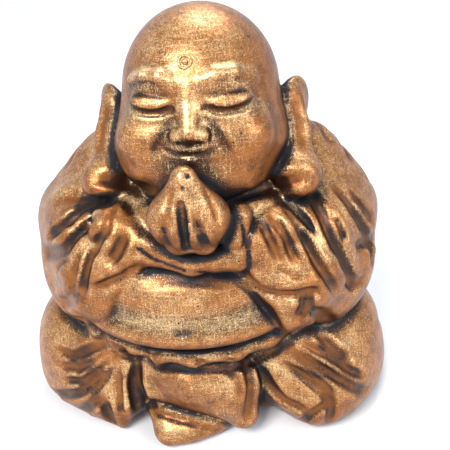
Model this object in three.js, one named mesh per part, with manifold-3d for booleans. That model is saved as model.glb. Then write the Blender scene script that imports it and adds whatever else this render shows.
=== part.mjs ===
// Seated laughing-buddha ornament: a hollow slush casting, its forehead bead, the closing board
// under it and four felt pads. Millimetres, +Z up, the front faces -Y.
import * as THREE from 'three';
import Module from 'manifold-3d';

// ---- driving dimensions -------------------------------------------------------------
const PAD_T = 2.0;            // felt pad thickness, the pads stand on z = 0
const PAD_R = 10.0;           // felt pad radius
const PAD_GAP = 0.3;          // clearance between a pad and what it is stuck to
const BASE_Z = PAD_T + PAD_GAP; // underside of the casting
const WALL = 11.0;            // casting wall
const RIM = 6.0;              // width of the rim outside the rebate
const LEDGE = 6.0;            // width of the ledge the board would sit on
const OVAL = [98, 45, 4];     // half sizes of the rebate oval and how far back it is centred
const BOARD_T = 3.0;          // hardboard thickness
const FIT = 0.3;              // clearance round the board
const REBATE = BOARD_T + 2 * FIT; // rebate depth
const VENT_R = 4.0;           // vent hole in the board
const BEAD_R = 1.7;           // forehead bead
const BEAD_PEG = 2.6;         // how deep the bead sits
const RING_R = 3.1;           // raised ring round the bead
const RING_T = 0.8; 
const BEAD_AT = [5.2, -58, 244]; // aimed at the forehead from here
const CELL = 2.5;             // sampling step of the sculpted surface
const TRIS = 7800;            // triangles kept on the outside of the casting
const HOLE_CELL = 14;         // sampling step of the hollow
const PADS = { felt_pad_front_left: [-76, -36], felt_pad_front_right: [80, -34],
  felt_pad_rear_left: [-66, 30], felt_pad_rear_right: [66, 30] };

// ---- the figure: blended round masses (e = ellipsoid, c = chain of round cones) ------
const MASSES = [
  { n: 'torso', k: 26, m: [{ t: 'e', c: [0, 16, 104], r: [82, 52, 70] }, { t: 'e', c: [0, 24, 136], r: [66, 42, 44] }, { t: 'e', c: [0, 12, 40], r: [96, 54, 46] }, { t: 'e', c: [0, 4, 6], r: [106, 55, 28], k: 14 }, { t: 'c', p: [[-54, 18, 142], [56, 18, 144]], r: [36, 36] }, { t: 'e', c: [2, -34, 146], r: [40, 30, 20], k: 12 }, { t: 'e', c: [2, -42, 131], r: [36, 24, 13], k: 8 }] },
  { n: 'arm-1', k: 12, K: 10, m: [{ t: 'e', c: [-72, 8, 124], r: [39, 40, 35], R: [0, -12, 0] }, { t: 'e', c: [-74, 0, 94], r: [29, 34, 22] }, { t: 'c', p: [[-72, -10, 106], [-69, -24, 88]], r: [30, 23] }, { t: 'e', c: [-64, -22, 136], r: [27, 27, 20], k: 16 }, { t: 'c', p: [[-72, -20, 98], [-54, -43, 114], [-32, -57, 141]], r: [29, 25, 15], k: 14, kk: 14 }, { t: 'e', c: [-56, -52, 108], r: [15, 17, 26], R: [0, -28, -24], k: 8 }] },
  { n: 'arm+1', k: 12, K: 10, m: [{ t: 'e', c: [71, 8, 124], r: [39, 40, 38], R: [0, 12, 0] }, { t: 'e', c: [76, 0, 94], r: [31, 34, 22] }, { t: 'c', p: [[72, -10, 106], [69, -24, 88]], r: [30, 23] }, { t: 'e', c: [64, -22, 136], r: [27, 27, 20], k: 16 }, { t: 'c', p: [[72, -20, 98], [54, -43, 114], [32, -57, 141]], r: [29, 25, 15], k: 14, kk: 14 }, { t: 'e', c: [58, -52, 104], r: [15, 17, 26], R: [0, 28, 24], k: 8 }] },
  { n: 'collar', k: 8, K: 6, m: [{ t: 'c', p: [[-42, -6, 150], [-27, -32, 157], [4, -43, 158], [34, -32, 157], [50, -6, 152]], r: [12, 11, 11, 11, 12], kk: 6 }, { t: 'c', p: [[-68, 0, 138], [-46, -34, 145], [-16, -55, 156]], r: [11, 10, 8.5], kk: 4 }, { t: 'c', p: [[72, 0, 140], [52, -34, 146], [22, -55, 156]], r: [11, 10, 8.5], kk: 4 }] },
  { n: 'head', k: 18, K: 1.5, m: [{ t: 'e', c: [7, -11, 213], r: [42.5, 46, 44] }, { t: 'e', c: [5.5, -23, 187], r: [47, 38, 25] }, { t: 'e', c: [5, -26, 175], r: [33, 34, 17] }] },
  { n: 'ear-1', k: 6, K: 2.5, m: [{ t: 'c', p: [[-45.5, -4, 203], [-47.5, -13, 188], [-47.5, -25, 174]], r: [6, 7, 10.5], kk: 6 }, { t: 'e', c: [-47.6, 1, 198], r: [5.4, 13, 15.5], R: [0, 0, 35] }, { t: 'e', c: [-43.8, -8, 192], r: [7, 7, 15] }, { t: 'e', c: [-47.5, -32, 169.5], r: [14, 12.5, 11.5] }] },
  { n: 'ear+1', k: 6, K: 2.5, m: [{ t: 'c', p: [[55.5, -4, 203], [57.5, -13, 188], [57.5, -25, 174]], r: [6, 7, 10.5], kk: 6 }, { t: 'e', c: [57.6, 1, 198], r: [5.4, 13, 15.5], R: [0, 0, -35] }, { t: 'e', c: [53.8, -8, 192], r: [7, 7, 15] }, { t: 'e', c: [57.5, -32, 169.5], r: [14, 12.5, 11.5] }] },
  { n: 'cuffs', k: 5, K: 3, m: [{ t: 'c', p: [[-40, -54, 150], [-20, -64, 143], [-1, -70, 138]], r: [14, 9, 6.5], kk: 3 }, { t: 'c', p: [[44, -52, 146], [24, -64, 139], [4, -70, 137]], r: [14, 9, 6.5], kk: 3 }] },
  { n: 'hands', k: 5, K: 1, m: [{ t: 'c', p: [[-2.5, -72, 154], [-3.8, -75, 168], [2.8, -77, 190.5]], r: [8.5, 12, 5], kk: 6 }, { t: 'c', p: [[9.5, -72, 154], [11.2, -75, 168], [4.8, -77, 190.5]], r: [8.5, 12, 5], kk: 6 }, { t: 'c', p: [[25, -66, 150], [28, -64, 161]], r: [7, 6.5] }] },
  { n: 'belly', k: 14, K: 2, m: [{ t: 'e', c: [-6, -42, 112], r: [54, 35.5, 25], k: 10 }, { t: 'e', c: [-7, -37, 91], r: [67, 46, 16.5] }] },
  { n: 'belt', k: 4, K: 3, m: [{ t: 'c', p: [[-66, -44, 76], [-48, -57, 73], [-26, -66, 71], [-4, -70, 71], [20, -67, 73], [40, -58, 76], [58, -44, 79]], r: [8, 7, 6, 5.5, 5.5, 6, 6], kk: 6 }] },
  { n: 'leg-1', k: 16, K: 4, m: [{ t: 'e', c: [-85, -6, 37], r: [39, 48, 40] }, { t: 'e', c: [-88, -4, 16], r: [37, 50, 26] }, { t: 'c', p: [[-62, -44, 20], [-46, -34, 50]], r: [22, 20] }, { t: 'c', p: [[-68, -34, 26], [-24, -30, 36]], r: [29, 28] }, { t: 'e', c: [-58, -34, 58], r: [30, 26, 18], R: [0, -18, 0], k: 10 }] },
  { n: 'leg+1', k: 16, K: 4, m: [{ t: 'e', c: [77, -6, 37], r: [39, 48, 40] }, { t: 'e', c: [81, -4, 16], r: [37, 50, 26] }, { t: 'c', p: [[71, -44, 20], [46, -34, 50]], r: [22, 20] }, { t: 'c', p: [[69, -34, 26], [24, -30, 36]], r: [29, 28] }, { t: 'e', c: [58, -34, 58], r: [30, 26, 18], R: [0, 18, 0], k: 10 }] },
  { n: 'shin', k: 8, K: 2, m: [{ t: 'c', p: [[-31, -46, 48], [-4, -53, 46], [17, -58, 40]], r: [19, 23, 17], kk: 12 }, { t: 'c', p: [[16, -58, 40], [23, -64, 17]], r: [15.5, 10.5], kk: 12 }, { t: 'c', p: [[-30, -50, 32], [10, -58, 28]], r: [16, 16], kk: 12 }] },
  { n: 'foot2', k: 6, K: 1.5, m: [{ t: 'c', p: [[4, -62, 10], [-12, -70, 10], [-23, -74, 9]], r: [11, 11, 9] }, { t: 'c', p: [[-26, -70, 9], [-31, -60, 19]], r: [8.5, 8.5] }, { t: 'c', p: [[-22, -64, 15], [6, -58, 16]], r: [11, 11] }] },
  { n: 'leaf', k: 4, K: 3.5, m: [{ t: 'c', p: [[-50, -54, 44], [-53, -60, 24], [-59, -62, 8]], r: [9, 9.5, 7.5], kk: 4 }, { t: 'c', p: [[42, -50, 46], [53, -53, 29], [70, -57, 14]], r: [10, 11, 10], kk: 6 }] },
  { n: 'eye-1', k: 4, K: 5, m: [{ t: 'e', c: [-12.5, -47.4, 218.5], r: [11.5, 7.4, 6.8] }, { t: 'c', p: [[-2, -52.5, 229], [-8, -51.2, 231.5], [-16, -47.6, 231.2], [-24, -40, 227]], r: [1.8, 2.3, 2.3, 1.5], k: 5, kk: 3 }] },
  { n: 'cheek-1', k: 6, K: 10, m: [{ t: 'e', c: [-18, -46, 199.5], r: [15, 13, 12] }] },
  { n: 'eye+1', k: 4, K: 5, m: [{ t: 'e', c: [24.5, -47.4, 218.5], r: [11.5, 7.4, 6.8] }, { t: 'c', p: [[14, -52.5, 229], [20, -51.2, 231.5], [28, -47.6, 231.2], [36, -40, 227]], r: [1.8, 2.3, 2.3, 1.5], k: 5, kk: 3 }] },
  { n: 'cheek+1', k: 6, K: 10, m: [{ t: 'e', c: [30, -46, 199.5], r: [15, 13, 12] }] },
  { n: 'nose', k: 4, K: 4, m: [{ t: 'c', p: [[6, -51.5, 227], [6, -57, 214], [6, -62, 207]], r: [3.4, 4.2, 5.2], kk: 4 }, { t: 'e', c: [-0.3, -59.5, 205], r: [4, 5, 3.6] }, { t: 'e', c: [12.3, -59.5, 205], r: [4, 5, 3.6] }] },
  { n: 'muzzle', k: 4, K: 8, m: [{ t: 'e', c: [6, -52.5, 195], r: [16, 10, 9] }] },
  { n: 'mouth', k: 2, K: 2.5, m: [{ t: 'c', p: [[-7, -56.5, 199.2], [1, -62, 198.4], [6, -62.8, 197.7], [11, -62, 198.4], [19, -56.5, 199.2]], r: [1.2, 2.2, 2, 2.2, 1.2], kk: 1 }] },
  { n: 'lip', k: 2, K: 2, m: [{ t: 'c', p: [[-3, -60, 195.6], [6, -63.2, 193.8], [15, -60, 195.6]], r: [1.4, 2.7, 1.4], kk: 1 }] },
  { n: 'chin', k: 6, K: 8, m: [{ t: 'e', c: [6, -54, 181.5], r: [15, 10, 8] }] },
];
// folds: [name, depth (+ groove, - ridge), half width, points on the surface]
const FOLDS = [
  ['lsA', 4.2, 2.6, [[-86.9, -38.9, 135.6], [-77.6, -43.7, 143.2], [-71.7, -42.8, 147.9], [-66, -39.7, 151.3], [-61, -35.4, 153.3], [-55.2, -31.6, 154.9]]],
  ['lsB', 4, 2.4, [[-71.9, -53.1, 136.2], [-66.6, -52, 141.5], [-61.3, -49.5, 145.7], [-51.4, -58.5, 156.8]]],
  ['lsC', 4.4, 2.4, [[-61.2, -70.5, 117.7], [-59.1, -68.8, 125.5], [-56.7, -66.4, 132.5], [-54.2, -63.5, 138.4], [-48.9, -64.3, 146.7], [-43.8, -66.5, 154.8]]],
  ['lsD', 3.6, 2.8, [[-40.9, -69.8, 138], [-36, -70.6, 146.8], [-32.3, -68.3, 153.3]]],
  ['lsHem', -2.8, 3.4, [[-53.5, -69.9, 126.2], [-44.9, -70.1, 130.3], [-36.5, -70.6, 133.9], [-29, -72, 141.3]]],
  ['lsHem2', 3.7, 3, [[-52.9, -70.8, 122.1], [-45, -70.6, 126], [-36.8, -70, 129.5], [-29.5, -71, 136.1]]],
  ['lsE', 4.7, 3.2, [[-86.2, -46.6, 90.7], [-70.3, -67.2, 111.7], [-63.2, -70, 117.4]]],
  ['lsF', 5, 3.4, [[-80.2, -45.2, 78.4], [-70.1, -50.3, 80.1], [-61.5, -55.8, 77.7]]],
  ['lsG', 1.6, 3.6, [[-68.2, -62.6, 129.2], [-71.3, -64.4, 122.3], [-82.9, -51.6, 103.9]]],
  ['lsh', -2.2, 5, [[-87.2, -13.8, 152.9], [-77.8, -17.5, 156.6], [-68.5, -20.7, 158.1], [-53, -43.5, 168.5], [-46.5, -43.9, 166.1], [-42, -38.5, 160.8], [-32.8, -45.6, 161.4]]],
  ['lsh2', 2.5, 5, [[-80.5, -26.8, 152.9], [-72.4, -27.8, 155.3], [-64.7, -29, 155.7], [-57.1, -31.3, 154.8], [-42.7, -53.7, 163.7]]],
  ['rsA', 4.4, 2.6, [[80.8, -22.8, 154.7], [85, -27.1, 150.5], [89.4, -29.9, 144.3], [93.9, -28.6, 135.6], [98.4, -25.1, 124.4], [102, -24.4, 114.7], [103.7, -24.9, 104.8]]],
  ['rsB', 4.4, 2.6, [[66.8, -32, 154.9], [69.2, -37.9, 151.8], [71.7, -42.9, 147.7], [73.7, -47, 142.6], [76.3, -49.1, 136.7], [79.7, -49.3, 130.3], [82.8, -48.8, 122.5], [86.1, -47, 113.5], [89.8, -44.2, 102.9]]],
  ['rsB2', 2.2, 2.4, [[79, -40.3, 146], [81.7, -42.5, 140.2], [83.5, -43.8, 133.2]]],
  ['rsC', 4.4, 2.6, [[54, -53.7, 155.6], [56.5, -56.3, 150.4], [59.9, -54.7, 142.4], [63.5, -58, 137.6], [66.6, -60.7, 132.2], [70.3, -62.3, 126.8], [74.1, -63.1, 120], [78.5, -58.9, 109.3]]],
  ['rsD', 3.4, 2.6, [[45.8, -59.7, 157.5], [50.3, -62.9, 152.1], [53.2, -62.3, 142.5], [56.4, -65.1, 134.8]]],
  ['rsHem', -2.8, 3.2, [[32.2, -70.2, 133], [36.1, -69.4, 126.4], [41.4, -70.2, 123], [48.3, -71, 122.2], [55.1, -70.6, 121.8], [61.5, -69.2, 121.4], [68.6, -66.4, 121.2]]],
  ['rsHem2', 4, 3, [[32.4, -68.4, 127.7], [36, -68.2, 120.8], [41.2, -69.7, 117.9], [48.2, -71.1, 117.5], [54.6, -71.1, 117.5], [61.5, -70, 118], [68.6, -67.6, 117.4]]],
  ['rsE', 5.3, 3, [[63.1, -69.7, 117.7], [61.5, -70.9, 109.8], [58.9, -70.4, 99.6]]],
  ['rsF', 4.7, 3, [[65.4, -69.8, 106.1], [70.3, -63.1, 96.4], [77.9, -44.8, 76.4]]],
  ['rsG', 2.5, 3, [[84.4, -50.1, 108.2], [90.4, -43.4, 104.5], [97.8, -36.5, 99.2]]],
  ['rUnder', -2, 3, [[41.7, -69.3, 114.2], [45.9, -69.3, 107.2], [49.6, -69.2, 98.6], [53.5, -66.5, 87.6]]],
  ['colL', -2.8, 4, [[-53.5, -43.3, 169], [-45.4, -44.3, 168.7], [-38.5, -40.5, 165.3], [-30.3, -42.5, 164.1], [-21, -46.5, 164.2]]],
  ['colL2', 4, 3.6, [[-50.4, -43.5, 173.3], [-43.2, -43.3, 173], [-36.7, -39.9, 170.5], [-28, -45.1, 171.3], [-17.6, -57, 175.3]]],
  ['colR', -2.8, 4, [[28.7, -61.4, 166.9], [34.7, -49.7, 161.6], [41.5, -45.6, 160.4], [48.4, -38.9, 158.4], [55.5, -40.7, 161.4], [62.4, -42.8, 165.2], [70.6, -23.7, 157.4]]],
  ['colR2', 4.3, 3.8, [[26, -52.3, 166.5], [32.4, -44.5, 164.4], [39.4, -40.8, 164.7], [47.1, -39.1, 165.5], [53.9, -44.1, 170.2], [61.2, -43.7, 172.2]]],
  ['cuL', 1.4, 2.2, [[-26.6, -70.9, 148.7], [-21.8, -73.2, 145.8], [-16.8, -73.9, 141.8], [-11.2, -74.6, 139.1], [-5.5, -75.5, 137.1], [1, -77.2, 136.3]]],
  ['cuR', 1.4, 2.2, [[3, -77.2, 136.3], [8.9, -74.8, 134], [14, -66.8, 127.3], [20.3, -65.5, 126.3], [27.5, -66.1, 127.5], [32.3, -71.3, 135.6], [32.2, -71.9, 144.1], [31.3, -69.5, 150], [30.2, -70.5, 157.8], [29, -69.8, 163.8]]],
  ['navel', 1.4, 1.8, [[-9, -80.6, 97.7], [-5.7, -80.9, 97.2], [-2.4, -80.6, 97.6]]],
  ['bEdge', 0.9, 1.8, [[24.1, -67.6, 122.4], [28.7, -67.7, 118.4], [33.9, -66.2, 112.5], [38, -64.7, 104.3], [42.3, -65.3, 97.5]]],
  ['blt1', 3.1, 2.2, [[-54.8, -62.4, 73.2], [-47.6, -65.8, 71.6], [-43.1, -58.1, 59.3], [-30.7, -71.9, 69.5], [-25.2, -66, 59.6]]],
  ['blt2', 1.8, 1.8, [[-21.8, -68, 59.9], [-13.1, -71, 62.2], [-5, -73, 62.6], [2.6, -72, 61.8], [10, -70, 59.9], [17.5, -67.1, 57.7], [25, -62.7, 55.9], [31.9, -55.7, 52.4], [39.5, -56.9, 58], [46.3, -57.7, 64.4], [53.6, -56, 68.6]]],
  ['lkA', 3.4, 2.8, [[-59.1, -58, 72.5], [-70.7, -55.2, 63], [-81, -53.7, 55.5]]],
  ['lkB', 3.4, 2.8, [[-108.8, -46.5, 13.1], [-93.4, -58.3, 24.2], [-80.8, -63.8, 32.2], [-71.6, -63.9, 38.6], [-63.8, -61.7, 45.4]]],
  ['lkC', 3.1, 3.2, [[-86.6, -58.8, 9.6], [-75.4, -66.8, 24.5], [-67.4, -66.8, 32]]],
  ['lkD', 5.3, 2.8, [[-64.8, -68.1, 26.2], [-64.2, -67.8, 14.7], [-61.8, -67.9, 4.4]]],
  ['lkE', 5.6, 3, [[-45.5, -62.4, 45.5], [-45.4, -65, 34], [-45.6, -67, 21.6]]],
  ['lkF', 2.2, 2.8, [[-95.8, -52.4, 44.5], [-83.3, -56.5, 46.9], [-70.8, -58.9, 53.9]]],
  ['shR', 4.3, 2.8, [[25.5, -59.7, 56.2], [28.5, -65.8, 51.5], [29.6, -70.1, 44.3], [27.9, -72.2, 33.5], [26.9, -73, 21]]],
  ['shL', 3.7, 3, [[-40.6, -60.5, 55.7], [-42.4, -61.7, 45.8], [-41.6, -62.9, 36.4], [-39.2, -62.2, 25.8], [-31.9, -68.4, 23.4]]],
  ['shF', 1.6, 2.2, [[-34.1, -69.2, 20.6], [-25.5, -72.8, 22.2], [-17.7, -74.5, 20.7], [-10, -75.7, 19.6], [-2.8, -75.8, 16.1], [4.3, -74.1, 11.5], [10.5, -69.6, 5.3]]],
  ['shG', -1.8, 4, [[-32.5, -65.4, 52.3], [-22.5, -70.6, 55], [-13.2, -74.9, 56.3], [-5.3, -77.4, 54.1], [2.7, -77.7, 48.7]]],
  ['rkA', 3.6, 2.8, [[52.9, -58.6, 64.6], [58.8, -60.2, 60.4], [64.8, -60.5, 55.8], [72.1, -60, 50.5], [78.9, -60, 45.4], [85.8, -60, 40.4], [92.9, -58.4, 33.5], [101.8, -50.9, 22.2]]],
  ['rkB', 3.4, 2.8, [[72.4, -50.6, 66.8], [79.6, -52.4, 59.6], [88.5, -51.7, 50.7]]],
  ['rkC', 3.6, 2.6, [[36.2, -59.3, 46.8], [39.7, -61.2, 40.2], [43.9, -63.2, 34.5], [49.4, -65.5, 29.1], [56.2, -66.7, 26.1], [63, -67.9, 22.2]]],
  ['rkD', 3, 2.6, [[72.7, -65.5, 37.4], [78.2, -67.4, 28.3], [76.9, -66.7, 12]]],
  ['rkE', -2, 3.4, [[44.3, -60, 50.9], [50.3, -61.7, 45.2], [57.5, -64.1, 40], [65.4, -66.2, 35.5]]],
  ['lsN', 2.4, 3.6, [[-96.7, -30.9, 118.9], [-80.7, -48.1, 130.4], [-70.4, -54.6, 135.9]]],
  ['lsP', 2.2, 2.6, [[-63, -36.8, 152.8], [-66.6, -42.9, 149.2], [-68.3, -48.7, 144]]],
  ['lsQ', 2, 2.6, [[-40.1, -55.2, 163.9], [-41.4, -63.4, 160.3], [-42.3, -67.2, 152.8]]],
  ['lsR', 2.4, 2.6, [[-64.1, -62.2, 132.9], [-66.1, -66.2, 125.6], [-69.2, -67.6, 116.3]]],
  ['rsN', 2.2, 3.4, [[106, -12.3, 115.5], [99.1, -25.3, 121.7], [92.1, -35.2, 123.4]]],
  ['rsP', 2.4, 2.4, [[60.8, -43.7, 150.3], [63.9, -47.8, 146.3], [67.5, -51.1, 141.9], [70.6, -53.8, 136.5], [74.4, -55.3, 130.4]]],
  ['rsQ', 2.4, 2.4, [[39.5, -60.8, 155.9], [42.6, -65.5, 150.8], [45.5, -66.6, 143.5], [49.5, -67.7, 135.4]]],
  ['rsR', 3, 2.6, [[81.5, -50.6, 123], [86.9, -46.4, 111], [90, -44.3, 98.6]]],
  ['rsS', 2.6, 2.6, [[90.1, -21.7, 148.8], [96.3, -21, 140.3], [103.9, -14, 126.6]]],
  ['lkG', 2.6, 2.4, [[-96.8, -47.7, 53.2], [-85.1, -52.6, 53.6], [-71.5, -56.6, 60.2]]],
  ['lkH', 2.4, 2.4, [[-91.9, -57.3, 36], [-78.5, -61.4, 40.4], [-67.4, -60.5, 48.6]]],
  ['lkI', 2.4, 2.6, [[-53.4, -62.1, 48.6], [-54.2, -65.1, 39.4], [-54.2, -68.6, 30.6], [-54.3, -70, 19.4]]],
  ['rkF', 2.8, 2.4, [[61.9, -56, 67], [68.5, -56.7, 62.8], [75.9, -56.2, 57.5], [82.7, -55.5, 51], [89.7, -54.9, 44.6], [98.4, -51.6, 36.2]]],
  ['rkG', 2.6, 2.4, [[54.6, -61, 53.7], [60.6, -61.7, 48.8], [66.7, -62.9, 44], [73.3, -64.1, 40.3], [80, -64.7, 35.8]]],
  ['rkH', 2.6, 2.4, [[59.6, -62.2, 7.3], [65.5, -68.4, 20.1], [71.5, -68.5, 26.7], [77.6, -66.9, 31.2]]],
  ['shH', 2, 3, [[16.3, -66.5, 58.9], [22.2, -71.1, 51.9], [23, -75, 41]]],
  ['belly1', 1, 3, [[-21.8, -70.9, 124.6], [-14.5, -71, 125.9], [-7.3, -70.9, 126.5], [0.2, -70.8, 126.4], [7.2, -71, 125.1], [14.1, -70.7, 123.5], [21.4, -69.6, 121.3]]],
  ['hA', 3.4, 1.6, [[2.5, -84.4, 180.7], [3, -86.3, 174.2], [3.3, -87.4, 166.5], [2, -80.2, 153.4]]],
  ['hB', 2.4, 2.3, [[-7.2, -87.2, 171.7], [-6.5, -87.8, 164.7], [-7, -78.7, 151.3]]],
  ['hC', 2.4, 2, [[8.8, -86.8, 174.3], [11.6, -88.4, 167], [12.7, -79.5, 151.5]]],
  ['hD', 0.9, 2, [[5.8, -80.5, 195.2], [6.7, -81.2, 194.1], [7.5, -81.8, 192.2]]],
  ['hE', 0.8, 1.8, [[3.2, -83.1, 189.4], [3.6, -83.3, 188.5], [3.9, -83.5, 187]]],
  ['hF', 1.2, 1.5, [[-0.7, -82, 189], [-3.3, -83.6, 181.4], [-4.6, -87.1, 173.7]]],
  ['hG', 1.2, 1.5, [[13.9, -78.5, 184.5], [17.5, -81.6, 178.2], [19.7, -84.9, 170.8]]],
  ['pit1', 2, 2.2, [[-37.1, -70, 147.7], [-36, -70.6, 146.8], [-35, -71.2, 145.3]]],
  ['bh1', 3, 2.2, [[-0.8, -76.4, 71.8], [0.9, -75.9, 71.3], [2.4, -75.1, 69.8]]],
  ['bh2', 3, 2.2, [[17.4, -73.3, 69.8], [18.6, -73.4, 70], [20.3, -73.3, 69.9]]],
  ['bh3', 3.4, 2.6, [[-63.8, -54.8, 76.7], [-62.3, -55.8, 76.1], [-60.9, -56.8, 75.4]]],
  ['rsRa', -2.2, 3.2, [[74.2, -28.1, 155.2], [77.2, -34.2, 151.4], [80.2, -38.4, 146.8], [82.9, -41, 140.6], [85.9, -41, 132.7], [89.3, -39, 123.2], [93.5, -37.1, 113.5]]],
  ['rsRb', -2, 3.2, [[59.4, -38, 154.6], [61.9, -42.9, 150.5], [65, -47.6, 146.2], [68.1, -51.3, 141.4], [71.2, -53.9, 136], [74.5, -55.7, 130], [77.7, -56.8, 123.4], [81.5, -54.2, 113.3]]],
  ['rsRc', -1.8, 3.2, [[49.4, -58.9, 157], [52.9, -61.2, 151.7], [56.5, -58.5, 143.1], [60.2, -60.9, 136.9], [63.3, -63.9, 131.2]]],
  ['lsRa', -2, 3, [[-78.5, -47.5, 136.1], [-70.9, -48.5, 142.8], [-64.9, -46.3, 147.2], [-59.1, -42, 150.4], [-47.4, -53.4, 161.9]]],
  ['lsRb', -2, 3, [[-65.6, -59.6, 134.5], [-61.5, -56.8, 139.9], [-56.9, -53.6, 144.3], [-46.5, -64.1, 157.1]]],
  ['lsRc', -1.8, 3, [[-53, -68.2, 131.6], [-47.5, -66, 140.6], [-39.1, -68.3, 151]]],
  ['lidL', 2.6, 1.4, [[-2.2, -56.1, 217], [-8.2, -55.6, 215], [-14.2, -55, 214.8], [-19.9, -53.2, 215.8], [-24, -49, 217.6]]],
  ['lid2L', 1.1, 1.5, [[-3, -54.8, 223], [-13.4, -52.8, 223.7], [-22.7, -47.9, 221.8]]],
  ['smileL', 1.3, 2.4, [[-5.8, -59.5, 206], [-9.1, -60.3, 201.9], [-12.1, -61.1, 196.2]]],
  ['cornerL', 1.7, 1.6, [[-8.2, -60.5, 201.6], [-9.3, -60.7, 200.7]]],
  ['wingL', 1.2, 1.5, [[-3.9, -58.6, 208.7], [-5.8, -59.5, 205.9], [-4.8, -61.5, 202.7]]],
  ['earL', 2.6, 3.2, [[-47.5, -12.1, 205], [-50.4, -16, 196.6], [-51.5, -22.4, 188.6], [-52, -29.4, 183.1]]],
  ['nostL', 1.2, 1.3, [[2.7, -64.5, 202], [1.4, -64.3, 202.1]]],
  ['lidR', 2.6, 1.4, [[14.4, -56.4, 217.1], [20.2, -55.9, 215.1], [26.2, -55.3, 214.8], [31.9, -53.4, 215.8], [36.2, -49.1, 217.6]]],
  ['lid2R', 1.1, 1.5, [[15, -55.2, 223], [25.4, -53, 224], [34.9, -48, 222]]],
  ['smileR', 1.3, 2.4, [[17.8, -59.7, 206], [21.1, -60.4, 201.9], [24.1, -61, 196.1]]],
  ['cornerR', 1.7, 1.6, [[20.2, -60.6, 201.5], [21.3, -60.8, 200.6]]],
  ['wingR', 1.2, 1.5, [[16, -58.7, 208.7], [17.9, -59.7, 205.9], [16.8, -61.6, 202.7]]],
  ['earR', 2.6, 3.2, [[57.5, -12.1, 205], [60.4, -16, 196.6], [61.5, -22.4, 188.6], [62, -29.4, 183.1]]],
  ['nostR', 1.2, 1.3, [[9.3, -64.5, 202], [10.6, -64.3, 202.1]]],
  ['mouthline', 1.9, 1.1, [[-7.8, -61.4, 199.1], [-1.6, -63.7, 196.8], [6, -65.6, 196.5], [13.6, -63.7, 196.8], [19.8, -61.5, 199]]],
  ['philtrum', 0.7, 1.3, [[6, -64.5, 201.2], [6, -64.5, 200.7]]],
  ['bk0', 2.4, 5, [[0, 62.8, 163.5], [1, 68.2, 152.2], [1.8, 71.4, 138.4], [-0.2, 72, 123.7], [-2, 70.8, 109.1], [-2.9, 68.3, 94.7], [-3.8, 65.9, 79.6], [-3, 65.8, 64.6], [-2, 66.6, 50]]],
  ['bkL', 2.4, 5, [[-32.9, 59.2, 162.9], [-37.8, 63.7, 151.2], [-42, 65.5, 137.2], [-44.9, 64.5, 122.7], [-47, 61.4, 108.6], [-49.2, 57.3, 94.6], [-51.8, 53.9, 79.3], [-55, 53, 63.8], [-58.9, 53.8, 49.7]]],
  ['bkR', 2.4, 5, [[34.9, 59, 162.8], [39.8, 63.4, 150.9], [44, 65, 136.7], [46.6, 63.7, 122], [48.3, 60.5, 107.7], [50.4, 56.5, 93.3], [53.1, 53.1, 77.6], [56.6, 52.5, 61.9], [60.7, 53.3, 47.7]]],
  ['bkl2', 1.8, 4.5, [[-19.8, 70.4, 120.1], [-22.6, 68.2, 106], [-25.1, 65.1, 92], [-26.9, 62.9, 76.7], [-29.3, 62.7, 61.8]]],
  ['bkr2', 1.8, 4.5, [[21.7, 70.2, 122.1], [24.3, 68, 106.9], [26.6, 64.8, 92], [28.6, 62.5, 75.6], [31.2, 62.5, 59.7]]],
  ['bkr3', -1.8, 6, [[11.7, 68.7, 149], [13.5, 71.1, 135.1], [15, 71, 120.5], [16, 69.3, 106], [16.6, 66.6, 91.6], [17.3, 64.6, 76.1]]],
  ['bkl3', -1.8, 6, [[-13.7, 68.6, 149], [-16.2, 70.9, 135.1], [-18.5, 70.6, 120.6], [-20.2, 68.7, 106.1], [-21.4, 65.8, 91.8], [-22.8, 63.7, 76.1]]],
  ['hemB', 2.6, 4.5, [[-121, 20.2, 28], [-110.4, 35.2, 28.1], [-93.8, 45, 25.8], [-80.6, 45.8, 21.8], [-65.7, 47, 21.8], [-53.5, 52.7, 21.4], [-40.7, 56.8, 21], [-27.3, 59.7, 20.7], [-13.6, 61.4, 20.6], [0, 62, 20.6], [13.6, 61.4, 20.6], [27.3, 59.7, 20.7], [40.7, 56.8, 21], [53.5, 52.7, 21.4], [66.6, 46.6, 21.6], [80.8, 46.4, 22], [95, 42, 24.8], [107.7, 30.5, 26.3], [115, 17.2, 26.6]]],
  ['sdL1', 2.4, 4, [[-104.9, 14.2, 140.6], [-108.4, 21.3, 126.1], [-103.8, 25.9, 110], [-95.4, 28, 97.8], [-86.4, 29.6, 86.9]]],
  ['sdL2', 2.2, 4, [[-90.3, 32.9, 148.8], [-90.2, 42, 134.1], [-85.5, 45.4, 117.2], [-78.1, 42.9, 103.5]]],
  ['sdR1', 2.4, 4, [[106.1, 14.4, 139], [107.8, 21.1, 123.6], [102.8, 25.4, 108.7], [96, 28.5, 95.4], [86.8, 29.5, 85.2]]],
  ['sdR2', 2.2, 4, [[92, 34, 148], [90.6, 42.4, 132], [85.2, 44.8, 115.4], [77.9, 42.3, 101.5]]],
  ['waistB', 2.6, 5, [[-103.4, 19.5, 65.2], [-94.2, 28.7, 62.9], [-82.8, 34.3, 59.2], [-70, 43.5, 61.3], [-59.6, 51, 60.9], [-47.6, 57.2, 59.7], [-34.8, 61.6, 59.4], [-21.1, 64.5, 59], [-7, 66, 58.4], [7, 66, 58.4], [21.1, 64.5, 59], [34.8, 61.6, 59.4], [47.6, 57.2, 59.7], [59.6, 51, 60.9], [70, 43.5, 61.3], [80.9, 34.6, 59.6], [92.4, 27.1, 61.2], [100.4, 17.6, 62.3]]],
  ['thL', 2, 4, [[-122, -10.3, 49.2], [-122.4, 6.1, 43.5], [-117.9, 21.7, 38.7], [-108.7, 34.8, 34.3]]],
  ['thR', 2, 4, [[114.7, -9.8, 47], [115.2, 4.6, 41.8], [112, 18.6, 37.2], [105, 31.3, 33]]],
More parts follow.
